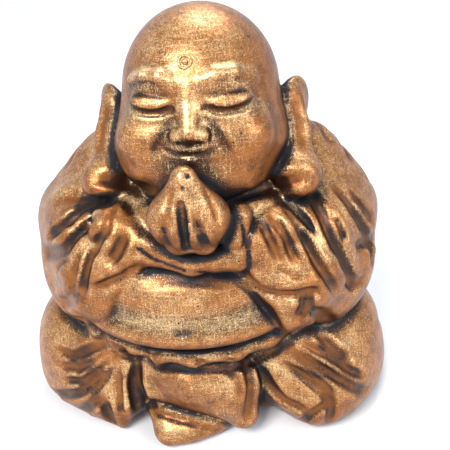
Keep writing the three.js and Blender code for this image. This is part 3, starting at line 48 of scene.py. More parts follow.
# blended round masses in mm: e = ellipsoid, c = chain of round cones
MASSES = [
    {'n': 'torso', 'k': 26, 'm': [{'t': 'e', 'c': [0, 16, 104], 'r': [82, 52, 70]}, {'t': 'e', 'c': [0, 24, 136], 'r': [66, 42, 44]}, {'t': 'e', 'c': [0, 12, 40], 'r': [96, 54, 46]}, {'t': 'e', 'c': [0, 4, 6], 'r': [106, 55, 28], 'k': 14}, {'t': 'c', 'p': [[-54, 18, 142], [56, 18, 144]], 'r': [36, 36]}, {'t': 'e', 'c': [2, -34, 146], 'r': [40, 30, 20], 'k': 12}, {'t': 'e', 'c': [2, -42, 131], 'r': [36, 24, 13], 'k': 8}]},
    {'n': 'arm-1', 'k': 12, 'K': 10, 'm': [{'t': 'e', 'c': [-72, 8, 124], 'r': [39, 40, 35], 'R': [0, -12, 0]}, {'t': 'e', 'c': [-74, 0, 94], 'r': [29, 34, 22]}, {'t': 'c', 'p': [[-72, -10, 106], [-69, -24, 88]], 'r': [30, 23]}, {'t': 'e', 'c': [-64, -22, 136], 'r': [27, 27, 20], 'k': 16}, {'t': 'c', 'p': [[-72, -20, 98], [-54, -43, 114], [-32, -57, 141]], 'r': [29, 25, 15], 'k': 14, 'kk': 14}, {'t': 'e', 'c': [-56, -52, 108], 'r': [15, 17, 26], 'R': [0, -28, -24], 'k': 8}]},
    {'n': 'arm+1', 'k': 12, 'K': 10, 'm': [{'t': 'e', 'c': [71, 8, 124], 'r': [39, 40, 38], 'R': [0, 12, 0]}, {'t': 'e', 'c': [76, 0, 94], 'r': [31, 34, 22]}, {'t': 'c', 'p': [[72, -10, 106], [69, -24, 88]], 'r': [30, 23]}, {'t': 'e', 'c': [64, -22, 136], 'r': [27, 27, 20], 'k': 16}, {'t': 'c', 'p': [[72, -20, 98], [54, -43, 114], [32, -57, 141]], 'r': [29, 25, 15], 'k': 14, 'kk': 14}, {'t': 'e', 'c': [58, -52, 104], 'r': [15, 17, 26], 'R': [0, 28, 24], 'k': 8}]},
    {'n': 'collar', 'k': 8, 'K': 6, 'm': [{'t': 'c', 'p': [[-42, -6, 150], [-27, -32, 157], [4, -43, 158], [34, -32, 157], [50, -6, 152]], 'r': [12, 11, 11, 11, 12], 'kk': 6}, {'t': 'c', 'p': [[-68, 0, 138], [-46, -34, 145], [-16, -55, 156]], 'r': [11, 10, 8.5], 'kk': 4}, {'t': 'c', 'p': [[72, 0, 140], [52, -34, 146], [22, -55, 156]], 'r': [11, 10, 8.5], 'kk': 4}]},
    {'n': 'head', 'k': 18, 'K': 1.5, 'm': [{'t': 'e', 'c': [7, -11, 213], 'r': [42.5, 46, 44]}, {'t': 'e', 'c': [5.5, -23, 187], 'r': [47, 38, 25]}, {'t': 'e', 'c': [5, -26, 175], 'r': [33, 34, 17]}]},
    {'n': 'ear-1', 'k': 6, 'K': 2.5, 'm': [{'t': 'c', 'p': [[-45.5, -4, 203], [-47.5, -13, 188], [-47.5, -25, 174]], 'r': [6, 7, 10.5], 'kk': 6}, {'t': 'e', 'c': [-47.6, 1, 198], 'r': [5.4, 13, 15.5], 'R': [0, 0, 35]}, {'t': 'e', 'c': [-43.8, -8, 192], 'r': [7, 7, 15]}, {'t': 'e', 'c': [-47.5, -32, 169.5], 'r': [14, 12.5, 11.5]}]},
    {'n': 'ear+1', 'k': 6, 'K': 2.5, 'm': [{'t': 'c', 'p': [[55.5, -4, 203], [57.5, -13, 188], [57.5, -25, 174]], 'r': [6, 7, 10.5], 'kk': 6}, {'t': 'e', 'c': [57.6, 1, 198], 'r': [5.4, 13, 15.5], 'R': [0, 0, -35]}, {'t': 'e', 'c': [53.8, -8, 192], 'r': [7, 7, 15]}, {'t': 'e', 'c': [57.5, -32, 169.5], 'r': [14, 12.5, 11.5]}]},
    {'n': 'cuffs', 'k': 5, 'K': 3, 'm': [{'t': 'c', 'p': [[-40, -54, 150], [-20, -64, 143], [-1, -70, 138]], 'r': [14, 9, 6.5], 'kk': 3}, {'t': 'c', 'p': [[44, -52, 146], [24, -64, 139], [4, -70, 137]], 'r': [14, 9, 6.5], 'kk': 3}]},
    {'n': 'hands', 'k': 5, 'K': 1, 'm': [{'t': 'c', 'p': [[-2.5, -72, 154], [-3.8, -75, 168], [2.8, -77, 190.5]], 'r': [8.5, 12, 5], 'kk': 6}, {'t': 'c', 'p': [[9.5, -72, 154], [11.2, -75, 168], [4.8, -77, 190.5]], 'r': [8.5, 12, 5], 'kk': 6}, {'t': 'c', 'p': [[25, -66, 150], [28, -64, 161]], 'r': [7, 6.5]}]},
    {'n': 'belly', 'k': 14, 'K': 2, 'm': [{'t': 'e', 'c': [-6, -42, 112], 'r': [54, 35.5, 25], 'k': 10}, {'t': 'e', 'c': [-7, -37, 91], 'r': [67, 46, 16.5]}]},
    {'n': 'belt', 'k': 4, 'K': 3, 'm': [{'t': 'c', 'p': [[-66, -44, 76], [-48, -57, 73], [-26, -66, 71], [-4, -70, 71], [20, -67, 73], [40, -58, 76], [58, -44, 79]], 'r': [8, 7, 6, 5.5, 5.5, 6, 6], 'kk': 6}]},
    {'n': 'leg-1', 'k': 16, 'K': 4, 'm': [{'t': 'e', 'c': [-85, -6, 37], 'r': [39, 48, 40]}, {'t': 'e', 'c': [-88, -4, 16], 'r': [37, 50, 26]}, {'t': 'c', 'p': [[-62, -44, 20], [-46, -34, 50]], 'r': [22, 20]}, {'t': 'c', 'p': [[-68, -34, 26], [-24, -30, 36]], 'r': [29, 28]}, {'t': 'e', 'c': [-58, -34, 58], 'r': [30, 26, 18], 'R': [0, -18, 0], 'k': 10}]},
    {'n': 'leg+1', 'k': 16, 'K': 4, 'm': [{'t': 'e', 'c': [77, -6, 37], 'r': [39, 48, 40]}, {'t': 'e', 'c': [81, -4, 16], 'r': [37, 50, 26]}, {'t': 'c', 'p': [[71, -44, 20], [46, -34, 50]], 'r': [22, 20]}, {'t': 'c', 'p': [[69, -34, 26], [24, -30, 36]], 'r': [29, 28]}, {'t': 'e', 'c': [58, -34, 58], 'r': [30, 26, 18], 'R': [0, 18, 0], 'k': 10}]},
    {'n': 'shin', 'k': 8, 'K': 2, 'm': [{'t': 'c', 'p': [[-31, -46, 48], [-4, -53, 46], [17, -58, 40]], 'r': [19, 23, 17], 'kk': 12}, {'t': 'c', 'p': [[16, -58, 40], [23, -64, 17]], 'r': [15.5, 10.5], 'kk': 12}, {'t': 'c', 'p': [[-30, -50, 32], [10, -58, 28]], 'r': [16, 16], 'kk': 12}]},
    {'n': 'foot2', 'k': 6, 'K': 1.5, 'm': [{'t': 'c', 'p': [[4, -62, 10], [-12, -70, 10], [-23, -74, 9]], 'r': [11, 11, 9]}, {'t': 'c', 'p': [[-26, -70, 9], [-31, -60, 19]], 'r': [8.5, 8.5]}, {'t': 'c', 'p': [[-22, -64, 15], [6, -58, 16]], 'r': [11, 11]}]},
    {'n': 'leaf', 'k': 4, 'K': 3.5, 'm': [{'t': 'c', 'p': [[-50, -54, 44], [-53, -60, 24], [-59, -62, 8]], 'r': [9, 9.5, 7.5], 'kk': 4}, {'t': 'c', 'p': [[42, -50, 46], [53, -53, 29], [70, -57, 14]], 'r': [10, 11, 10], 'kk': 6}]},
    {'n': 'eye-1', 'k': 4, 'K': 5, 'm': [{'t': 'e', 'c': [-12.5, -47.4, 218.5], 'r': [11.5, 7.4, 6.8]}, {'t': 'c', 'p': [[-2, -52.5, 229], [-8, -51.2, 231.5], [-16, -47.6, 231.2], [-24, -40, 227]], 'r': [1.8, 2.3, 2.3, 1.5], 'k': 5, 'kk': 3}]},
    {'n': 'cheek-1', 'k': 6, 'K': 10, 'm': [{'t': 'e', 'c': [-18, -46, 199.5], 'r': [15, 13, 12]}]},
    {'n': 'eye+1', 'k': 4, 'K': 5, 'm': [{'t': 'e', 'c': [24.5, -47.4, 218.5], 'r': [11.5, 7.4, 6.8]}, {'t': 'c', 'p': [[14, -52.5, 229], [20, -51.2, 231.5], [28, -47.6, 231.2], [36, -40, 227]], 'r': [1.8, 2.3, 2.3, 1.5], 'k': 5, 'kk': 3}]},
    {'n': 'cheek+1', 'k': 6, 'K': 10, 'm': [{'t': 'e', 'c': [30, -46, 199.5], 'r': [15, 13, 12]}]},
    {'n': 'nose', 'k': 4, 'K': 4, 'm': [{'t': 'c', 'p': [[6, -51.5, 227], [6, -57, 214], [6, -62, 207]], 'r': [3.4, 4.2, 5.2], 'kk': 4}, {'t': 'e', 'c': [-0.3, -59.5, 205], 'r': [4, 5, 3.6]}, {'t': 'e', 'c': [12.3, -59.5, 205], 'r': [4, 5, 3.6]}]},
    {'n': 'muzzle', 'k': 4, 'K': 8, 'm': [{'t': 'e', 'c': [6, -52.5, 195], 'r': [16, 10, 9]}]},
    {'n': 'mouth', 'k': 2, 'K': 2.5, 'm': [{'t': 'c', 'p': [[-7, -56.5, 199.2], [1, -62, 198.4], [6, -62.8, 197.7], [11, -62, 198.4], [19, -56.5, 199.2]], 'r': [1.2, 2.2, 2, 2.2, 1.2], 'kk': 1}]},
    {'n': 'lip', 'k': 2, 'K': 2, 'm': [{'t': 'c', 'p': [[-3, -60, 195.6], [6, -63.2, 193.8], [15, -60, 195.6]], 'r': [1.4, 2.7, 1.4], 'kk': 1}]},
    {'n': 'chin', 'k': 6, 'K': 8, 'm': [{'t': 'e', 'c': [6, -54, 181.5], 'r': [15, 10, 8]}]},
]
# folds: name, depth (+ groove, - ridge), half width, points on the surface
FOLDS = [
    ['lsA', 4.2, 2.6, [[-86.9, -38.9, 135.6], [-77.6, -43.7, 143.2], [-71.7, -42.8, 147.9], [-66, -39.7, 151.3], [-61, -35.4, 153.3], [-55.2, -31.6, 154.9]]],
    ['lsB', 4, 2.4, [[-71.9, -53.1, 136.2], [-66.6, -52, 141.5], [-61.3, -49.5, 145.7], [-51.4, -58.5, 156.8]]],
    ['lsC', 4.4, 2.4, [[-61.2, -70.5, 117.7], [-59.1, -68.8, 125.5], [-56.7, -66.4, 132.5], [-54.2, -63.5, 138.4], [-48.9, -64.3, 146.7], [-43.8, -66.5, 154.8]]],
    ['lsD', 3.6, 2.8, [[-40.9, -69.8, 138], [-36, -70.6, 146.8], [-32.3, -68.3, 153.3]]],
    ['lsHem', -2.8, 3.4, [[-53.5, -69.9, 126.2], [-44.9, -70.1, 130.3], [-36.5, -70.6, 133.9], [-29, -72, 141.3]]],
    ['lsHem2', 3.7, 3, [[-52.9, -70.8, 122.1], [-45, -70.6, 126], [-36.8, -70, 129.5], [-29.5, -71, 136.1]]],
    ['lsE', 4.7, 3.2, [[-86.2, -46.6, 90.7], [-70.3, -67.2, 111.7], [-63.2, -70, 117.4]]],
    ['lsF', 5, 3.4, [[-80.2, -45.2, 78.4], [-70.1, -50.3, 80.1], [-61.5, -55.8, 77.7]]],
    ['lsG', 1.6, 3.6, [[-68.2, -62.6, 129.2], [-71.3, -64.4, 122.3], [-82.9, -51.6, 103.9]]],
    ['lsh', -2.2, 5, [[-87.2, -13.8, 152.9], [-77.8, -17.5, 156.6], [-68.5, -20.7, 158.1], [-53, -43.5, 168.5], [-46.5, -43.9, 166.1], [-42, -38.5, 160.8], [-32.8, -45.6, 161.4]]],
    ['lsh2', 2.5, 5, [[-80.5, -26.8, 152.9], [-72.4, -27.8, 155.3], [-64.7, -29, 155.7], [-57.1, -31.3, 154.8], [-42.7, -53.7, 163.7]]],
    ['rsA', 4.4, 2.6, [[80.8, -22.8, 154.7], [85, -27.1, 150.5], [89.4, -29.9, 144.3], [93.9, -28.6, 135.6], [98.4, -25.1, 124.4], [102, -24.4, 114.7], [103.7, -24.9, 104.8]]],
    ['rsB', 4.4, 2.6, [[66.8, -32, 154.9], [69.2, -37.9, 151.8], [71.7, -42.9, 147.7], [73.7, -47, 142.6], [76.3, -49.1, 136.7], [79.7, -49.3, 130.3], [82.8, -48.8, 122.5], [86.1, -47, 113.5], [89.8, -44.2, 102.9]]],
    ['rsB2', 2.2, 2.4, [[79, -40.3, 146], [81.7, -42.5, 140.2], [83.5, -43.8, 133.2]]],
    ['rsC', 4.4, 2.6, [[54, -53.7, 155.6], [56.5, -56.3, 150.4], [59.9, -54.7, 142.4], [63.5, -58, 137.6], [66.6, -60.7, 132.2], [70.3, -62.3, 126.8], [74.1, -63.1, 120], [78.5, -58.9, 109.3]]],
    ['rsD', 3.4, 2.6, [[45.8, -59.7, 157.5], [50.3, -62.9, 152.1], [53.2, -62.3, 142.5], [56.4, -65.1, 134.8]]],
    ['rsHem', -2.8, 3.2, [[32.2, -70.2, 133], [36.1, -69.4, 126.4], [41.4, -70.2, 123], [48.3, -71, 122.2], [55.1, -70.6, 121.8], [61.5, -69.2, 121.4], [68.6, -66.4, 121.2]]],
    ['rsHem2', 4, 3, [[32.4, -68.4, 127.7], [36, -68.2, 120.8], [41.2, -69.7, 117.9], [48.2, -71.1, 117.5], [54.6, -71.1, 117.5], [61.5, -70, 118], [68.6, -67.6, 117.4]]],
    ['rsE', 5.3, 3, [[63.1, -69.7, 117.7], [61.5, -70.9, 109.8], [58.9, -70.4, 99.6]]],
    ['rsF', 4.7, 3, [[65.4, -69.8, 106.1], [70.3, -63.1, 96.4], [77.9, -44.8, 76.4]]],
    ['rsG', 2.5, 3, [[84.4, -50.1, 108.2], [90.4, -43.4, 104.5], [97.8, -36.5, 99.2]]],
    ['rUnder', -2, 3, [[41.7, -69.3, 114.2], [45.9, -69.3, 107.2], [49.6, -69.2, 98.6], [53.5, -66.5, 87.6]]],
    ['colL', -2.8, 4, [[-53.5, -43.3, 169], [-45.4, -44.3, 168.7], [-38.5, -40.5, 165.3], [-30.3, -42.5, 164.1], [-21, -46.5, 164.2]]],
    ['colL2', 4, 3.6, [[-50.4, -43.5, 173.3], [-43.2, -43.3, 173], [-36.7, -39.9, 170.5], [-28, -45.1, 171.3], [-17.6, -57, 175.3]]],
    ['colR', -2.8, 4, [[28.7, -61.4, 166.9], [34.7, -49.7, 161.6], [41.5, -45.6, 160.4], [48.4, -38.9, 158.4], [55.5, -40.7, 161.4], [62.4, -42.8, 165.2], [70.6, -23.7, 157.4]]],
    ['colR2', 4.3, 3.8, [[26, -52.3, 166.5], [32.4, -44.5, 164.4], [39.4, -40.8, 164.7], [47.1, -39.1, 165.5], [53.9, -44.1, 170.2], [61.2, -43.7, 172.2]]],
    ['cuL', 1.4, 2.2, [[-26.6, -70.9, 148.7], [-21.8, -73.2, 145.8], [-16.8, -73.9, 141.8], [-11.2, -74.6, 139.1], [-5.5, -75.5, 137.1], [1, -77.2, 136.3]]],
    ['cuR', 1.4, 2.2, [[3, -77.2, 136.3], [8.9, -74.8, 134], [14, -66.8, 127.3], [20.3, -65.5, 126.3], [27.5, -66.1, 127.5], [32.3, -71.3, 135.6], [32.2, -71.9, 144.1], [31.3, -69.5, 150], [30.2, -70.5, 157.8], [29, -69.8, 163.8]]],
    ['navel', 1.4, 1.8, [[-9, -80.6, 97.7], [-5.7, -80.9, 97.2], [-2.4, -80.6, 97.6]]],
    ['bEdge', 0.9, 1.8, [[24.1, -67.6, 122.4], [28.7, -67.7, 118.4], [33.9, -66.2, 112.5], [38, -64.7, 104.3], [42.3, -65.3, 97.5]]],
    ['blt1', 3.1, 2.2, [[-54.8, -62.4, 73.2], [-47.6, -65.8, 71.6], [-43.1, -58.1, 59.3], [-30.7, -71.9, 69.5], [-25.2, -66, 59.6]]],
    ['blt2', 1.8, 1.8, [[-21.8, -68, 59.9], [-13.1, -71, 62.2], [-5, -73, 62.6], [2.6, -72, 61.8], [10, -70, 59.9], [17.5, -67.1, 57.7], [25, -62.7, 55.9], [31.9, -55.7, 52.4], [39.5, -56.9, 58], [46.3, -57.7, 64.4], [53.6, -56, 68.6]]],
    ['lkA', 3.4, 2.8, [[-59.1, -58, 72.5], [-70.7, -55.2, 63], [-81, -53.7, 55.5]]],
    ['lkB', 3.4, 2.8, [[-108.8, -46.5, 13.1], [-93.4, -58.3, 24.2], [-80.8, -63.8, 32.2], [-71.6, -63.9, 38.6], [-63.8, -61.7, 45.4]]],
    ['lkC', 3.1, 3.2, [[-86.6, -58.8, 9.6], [-75.4, -66.8, 24.5], [-67.4, -66.8, 32]]],
    ['lkD', 5.3, 2.8, [[-64.8, -68.1, 26.2], [-64.2, -67.8, 14.7], [-61.8, -67.9, 4.4]]],
    ['lkE', 5.6, 3, [[-45.5, -62.4, 45.5], [-45.4, -65, 34], [-45.6, -67, 21.6]]],
    ['lkF', 2.2, 2.8, [[-95.8, -52.4, 44.5], [-83.3, -56.5, 46.9], [-70.8, -58.9, 53.9]]],
    ['shR', 4.3, 2.8, [[25.5, -59.7, 56.2], [28.5, -65.8, 51.5], [29.6, -70.1, 44.3], [27.9, -72.2, 33.5], [26.9, -73, 21]]],
    ['shL', 3.7, 3, [[-40.6, -60.5, 55.7], [-42.4, -61.7, 45.8], [-41.6, -62.9, 36.4], [-39.2, -62.2, 25.8], [-31.9, -68.4, 23.4]]],
    ['shF', 1.6, 2.2, [[-34.1, -69.2, 20.6], [-25.5, -72.8, 22.2], [-17.7, -74.5, 20.7], [-10, -75.7, 19.6], [-2.8, -75.8, 16.1], [4.3, -74.1, 11.5], [10.5, -69.6, 5.3]]],
    ['shG', -1.8, 4, [[-32.5, -65.4, 52.3], [-22.5, -70.6, 55], [-13.2, -74.9, 56.3], [-5.3, -77.4, 54.1], [2.7, -77.7, 48.7]]],
    ['rkA', 3.6, 2.8, [[52.9, -58.6, 64.6], [58.8, -60.2, 60.4], [64.8, -60.5, 55.8], [72.1, -60, 50.5], [78.9, -60, 45.4], [85.8, -60, 40.4], [92.9, -58.4, 33.5], [101.8, -50.9, 22.2]]],
    ['rkB', 3.4, 2.8, [[72.4, -50.6, 66.8], [79.6, -52.4, 59.6], [88.5, -51.7, 50.7]]],
    ['rkC', 3.6, 2.6, [[36.2, -59.3, 46.8], [39.7, -61.2, 40.2], [43.9, -63.2, 34.5], [49.4, -65.5, 29.1], [56.2, -66.7, 26.1], [63, -67.9, 22.2]]],
    ['rkD', 3, 2.6, [[72.7, -65.5, 37.4], [78.2, -67.4, 28.3], [76.9, -66.7, 12]]],
    ['rkE', -2, 3.4, [[44.3, -60, 50.9], [50.3, -61.7, 45.2], [57.5, -64.1, 40], [65.4, -66.2, 35.5]]],
    ['lsN', 2.4, 3.6, [[-96.7, -30.9, 118.9], [-80.7, -48.1, 130.4], [-70.4, -54.6, 135.9]]],
    ['lsP', 2.2, 2.6, [[-63, -36.8, 152.8], [-66.6, -42.9, 149.2], [-68.3, -48.7, 144]]],
    ['lsQ', 2, 2.6, [[-40.1, -55.2, 163.9], [-41.4, -63.4, 160.3], [-42.3, -67.2, 152.8]]],
    ['lsR', 2.4, 2.6, [[-64.1, -62.2, 132.9], [-66.1, -66.2, 125.6], [-69.2, -67.6, 116.3]]],
    ['rsN', 2.2, 3.4, [[106, -12.3, 115.5], [99.1, -25.3, 121.7], [92.1, -35.2, 123.4]]],
    ['rsP', 2.4, 2.4, [[60.8, -43.7, 150.3], [63.9, -47.8, 146.3], [67.5, -51.1, 141.9], [70.6, -53.8, 136.5], [74.4, -55.3, 130.4]]],
    ['rsQ', 2.4, 2.4, [[39.5, -60.8, 155.9], [42.6, -65.5, 150.8], [45.5, -66.6, 143.5], [49.5, -67.7, 135.4]]],
    ['rsR', 3, 2.6, [[81.5, -50.6, 123], [86.9, -46.4, 111], [90, -44.3, 98.6]]],
    ['rsS', 2.6, 2.6, [[90.1, -21.7, 148.8], [96.3, -21, 140.3], [103.9, -14, 126.6]]],
    ['lkG', 2.6, 2.4, [[-96.8, -47.7, 53.2], [-85.1, -52.6, 53.6], [-71.5, -56.6, 60.2]]],
    ['lkH', 2.4, 2.4, [[-91.9, -57.3, 36], [-78.5, -61.4, 40.4], [-67.4, -60.5, 48.6]]],
    ['lkI', 2.4, 2.6, [[-53.4, -62.1, 48.6], [-54.2, -65.1, 39.4], [-54.2, -68.6, 30.6], [-54.3, -70, 19.4]]],
    ['rkF', 2.8, 2.4, [[61.9, -56, 67], [68.5, -56.7, 62.8], [75.9, -56.2, 57.5], [82.7, -55.5, 51], [89.7, -54.9, 44.6], [98.4, -51.6, 36.2]]],
    ['rkG', 2.6, 2.4, [[54.6, -61, 53.7], [60.6, -61.7, 48.8], [66.7, -62.9, 44], [73.3, -64.1, 40.3], [80, -64.7, 35.8]]],
    ['rkH', 2.6, 2.4, [[59.6, -62.2, 7.3], [65.5, -68.4, 20.1], [71.5, -68.5, 26.7], [77.6, -66.9, 31.2]]],
    ['shH', 2, 3, [[16.3, -66.5, 58.9], [22.2, -71.1, 51.9], [23, -75, 41]]],
    ['belly1', 1, 3, [[-21.8, -70.9, 124.6], [-14.5, -71, 125.9], [-7.3, -70.9, 126.5], [0.2, -70.8, 126.4], [7.2, -71, 125.1], [14.1, -70.7, 123.5], [21.4, -69.6, 121.3]]],
    ['hA', 3.4, 1.6, [[2.5, -84.4, 180.7], [3, -86.3, 174.2], [3.3, -87.4, 166.5], [2, -80.2, 153.4]]],
    ['hB', 2.4, 2.3, [[-7.2, -87.2, 171.7], [-6.5, -87.8, 164.7], [-7, -78.7, 151.3]]],
    ['hC', 2.4, 2, [[8.8, -86.8, 174.3], [11.6, -88.4, 167], [12.7, -79.5, 151.5]]],
    ['hD', 0.9, 2, [[5.8, -80.5, 195.2], [6.7, -81.2, 194.1], [7.5, -81.8, 192.2]]],
    ['hE', 0.8, 1.8, [[3.2, -83.1, 189.4], [3.6, -83.3, 188.5], [3.9, -83.5, 187]]],
    ['hF', 1.2, 1.5, [[-0.7, -82, 189], [-3.3, -83.6, 181.4], [-4.6, -87.1, 173.7]]],
    ['hG', 1.2, 1.5, [[13.9, -78.5, 184.5], [17.5, -81.6, 178.2], [19.7, -84.9, 170.8]]],
    ['pit1', 2, 2.2, [[-37.1, -70, 147.7], [-36, -70.6, 146.8], [-35, -71.2, 145.3]]],
    ['bh1', 3, 2.2, [[-0.8, -76.4, 71.8], [0.9, -75.9, 71.3], [2.4, -75.1, 69.8]]],
    ['bh2', 3, 2.2, [[17.4, -73.3, 69.8], [18.6, -73.4, 70], [20.3, -73.3, 69.9]]],
    ['bh3', 3.4, 2.6, [[-63.8, -54.8, 76.7], [-62.3, -55.8, 76.1], [-60.9, -56.8, 75.4]]],
    ['rsRa', -2.2, 3.2, [[74.2, -28.1, 155.2], [77.2, -34.2, 151.4], [80.2, -38.4, 146.8], [82.9, -41, 140.6], [85.9, -41, 132.7], [89.3, -39, 123.2], [93.5, -37.1, 113.5]]],
    ['rsRb', -2, 3.2, [[59.4, -38, 154.6], [61.9, -42.9, 150.5], [65, -47.6, 146.2], [68.1, -51.3, 141.4], [71.2, -53.9, 136], [74.5, -55.7, 130], [77.7, -56.8, 123.4], [81.5, -54.2, 113.3]]],
    ['rsRc', -1.8, 3.2, [[49.4, -58.9, 157], [52.9, -61.2, 151.7], [56.5, -58.5, 143.1], [60.2, -60.9, 136.9], [63.3, -63.9, 131.2]]],
    ['lsRa', -2, 3, [[-78.5, -47.5, 136.1], [-70.9, -48.5, 142.8], [-64.9, -46.3, 147.2], [-59.1, -42, 150.4], [-47.4, -53.4, 161.9]]],
    ['lsRb', -2, 3, [[-65.6, -59.6, 134.5], [-61.5, -56.8, 139.9], [-56.9, -53.6, 144.3], [-46.5, -64.1, 157.1]]],
    ['lsRc', -1.8, 3, [[-53, -68.2, 131.6], [-47.5, -66, 140.6], [-39.1, -68.3, 151]]],
    ['lidL', 2.6, 1.4, [[-2.2, -56.1, 217], [-8.2, -55.6, 215], [-14.2, -55, 214.8], [-19.9, -53.2, 215.8], [-24, -49, 217.6]]],
    ['lid2L', 1.1, 1.5, [[-3, -54.8, 223], [-13.4, -52.8, 223.7], [-22.7, -47.9, 221.8]]],
    ['smileL', 1.3, 2.4, [[-5.8, -59.5, 206], [-9.1, -60.3, 201.9], [-12.1, -61.1, 196.2]]],
    ['cornerL', 1.7, 1.6, [[-8.2, -60.5, 201.6], [-9.3, -60.7, 200.7]]],
    ['wingL', 1.2, 1.5, [[-3.9, -58.6, 208.7], [-5.8, -59.5, 205.9], [-4.8, -61.5, 202.7]]],
    ['earL', 2.6, 3.2, [[-47.5, -12.1, 205], [-50.4, -16, 196.6], [-51.5, -22.4, 188.6], [-52, -29.4, 183.1]]],
    ['nostL', 1.2, 1.3, [[2.7, -64.5, 202], [1.4, -64.3, 202.1]]],
    ['lidR', 2.6, 1.4, [[14.4, -56.4, 217.1], [20.2, -55.9, 215.1], [26.2, -55.3, 214.8], [31.9, -53.4, 215.8], [36.2, -49.1, 217.6]]],
    ['lid2R', 1.1, 1.5, [[15, -55.2, 223], [25.4, -53, 224], [34.9, -48, 222]]],
    ['smileR', 1.3, 2.4, [[17.8, -59.7, 206], [21.1, -60.4, 201.9], [24.1, -61, 196.1]]],
    ['cornerR', 1.7, 1.6, [[20.2, -60.6, 201.5], [21.3, -60.8, 200.6]]],
    ['wingR', 1.2, 1.5, [[16, -58.7, 208.7], [17.9, -59.7, 205.9], [16.8, -61.6, 202.7]]],
    ['earR', 2.6, 3.2, [[57.5, -12.1, 205], [60.4, -16, 196.6], [61.5, -22.4, 188.6], [62, -29.4, 183.1]]],
    ['nostR', 1.2, 1.3, [[9.3, -64.5, 202], [10.6, -64.3, 202.1]]],
    ['mouthline', 1.9, 1.1, [[-7.8, -61.4, 199.1], [-1.6, -63.7, 196.8], [6, -65.6, 196.5], [13.6, -63.7, 196.8], [19.8, -61.5, 199]]],
    ['philtrum', 0.7, 1.3, [[6, -64.5, 201.2], [6, -64.5, 200.7]]],
    ['bk0', 2.4, 5, [[0, 62.8, 163.5], [1, 68.2, 152.2], [1.8, 71.4, 138.4], [-0.2, 72, 123.7], [-2, 70.8, 109.1], [-2.9, 68.3, 94.7], [-3.8, 65.9, 79.6], [-3, 65.8, 64.6], [-2, 66.6, 50]]],
    ['bkL', 2.4, 5, [[-32.9, 59.2, 162.9], [-37.8, 63.7, 151.2], [-42, 65.5, 137.2], [-44.9, 64.5, 122.7], [-47, 61.4, 108.6], [-49.2, 57.3, 94.6], [-51.8, 53.9, 79.3], [-55, 53, 63.8], [-58.9, 53.8, 49.7]]],
    ['bkR', 2.4, 5, [[34.9, 59, 162.8], [39.8, 63.4, 150.9], [44, 65, 136.7], [46.6, 63.7, 122], [48.3, 60.5, 107.7], [50.4, 56.5, 93.3], [53.1, 53.1, 77.6], [56.6, 52.5, 61.9], [60.7, 53.3, 47.7]]],
    ['bkl2', 1.8, 4.5, [[-19.8, 70.4, 120.1], [-22.6, 68.2, 106], [-25.1, 65.1, 92], [-26.9, 62.9, 76.7], [-29.3, 62.7, 61.8]]],
    ['bkr2', 1.8, 4.5, [[21.7, 70.2, 122.1], [24.3, 68, 106.9], [26.6, 64.8, 92], [28.6, 62.5, 75.6], [31.2, 62.5, 59.7]]],
    ['bkr3', -1.8, 6, [[11.7, 68.7, 149], [13.5, 71.1, 135.1], [15, 71, 120.5], [16, 69.3, 106], [16.6, 66.6, 91.6], [17.3, 64.6, 76.1]]],
    ['bkl3', -1.8, 6, [[-13.7, 68.6, 149], [-16.2, 70.9, 135.1], [-18.5, 70.6, 120.6], [-20.2, 68.7, 106.1], [-21.4, 65.8, 91.8], [-22.8, 63.7, 76.1]]],
    ['hemB', 2.6, 4.5, [[-121, 20.2, 28], [-110.4, 35.2, 28.1], [-93.8, 45, 25.8], [-80.6, 45.8, 21.8], [-65.7, 47, 21.8], [-53.5, 52.7, 21.4], [-40.7, 56.8, 21], [-27.3, 59.7, 20.7], [-13.6, 61.4, 20.6], [0, 62, 20.6], [13.6, 61.4, 20.6], [27.3, 59.7, 20.7], [40.7, 56.8, 21], [53.5, 52.7, 21.4], [66.6, 46.6, 21.6], [80.8, 46.4, 22], [95, 42, 24.8], [107.7, 30.5, 26.3], [115, 17.2, 26.6]]],
    ['sdL1', 2.4, 4, [[-104.9, 14.2, 140.6], [-108.4, 21.3, 126.1], [-103.8, 25.9, 110], [-95.4, 28, 97.8], [-86.4, 29.6, 86.9]]],
    ['sdL2', 2.2, 4, [[-90.3, 32.9, 148.8], [-90.2, 42, 134.1], [-85.5, 45.4, 117.2], [-78.1, 42.9, 103.5]]],
    ['sdR1', 2.4, 4, [[106.1, 14.4, 139], [107.8, 21.1, 123.6], [102.8, 25.4, 108.7], [96, 28.5, 95.4], [86.8, 29.5, 85.2]]],
    ['sdR2', 2.2, 4, [[92, 34, 148], [90.6, 42.4, 132], [85.2, 44.8, 115.4], [77.9, 42.3, 101.5]]],
    ['waistB', 2.6, 5, [[-103.4, 19.5, 65.2], [-94.2, 28.7, 62.9], [-82.8, 34.3, 59.2], [-70, 43.5, 61.3], [-59.6, 51, 60.9], [-47.6, 57.2, 59.7], [-34.8, 61.6, 59.4], [-21.1, 64.5, 59], [-7, 66, 58.4], [7, 66, 58.4], [21.1, 64.5, 59], [34.8, 61.6, 59.4], [47.6, 57.2, 59.7], [59.6, 51, 60.9], [70, 43.5, 61.3], [80.9, 34.6, 59.6], [92.4, 27.1, 61.2], [100.4, 17.6, 62.3]]],
    ['thL', 2, 4, [[-122, -10.3, 49.2], [-122.4, 6.1, 43.5], [-117.9, 21.7, 38.7], [-108.7, 34.8, 34.3]]],
    ['thR', 2, 4, [[114.7, -9.8, 47], [115.2, 4.6, 41.8], [112, 18.6, 37.2], [105, 31.3, 33]]],
    ['neckB', 2.4, 5, [[-41, 35.7, 180.3], [-26.4, 42.4, 180.1], [-11.5, 46.6, 179.5], [4.1, 48.3, 178.9], [19.7, 46.5, 178.9], [34.6, 42.3, 179.1], [48.7, 35.6, 179.7]]],
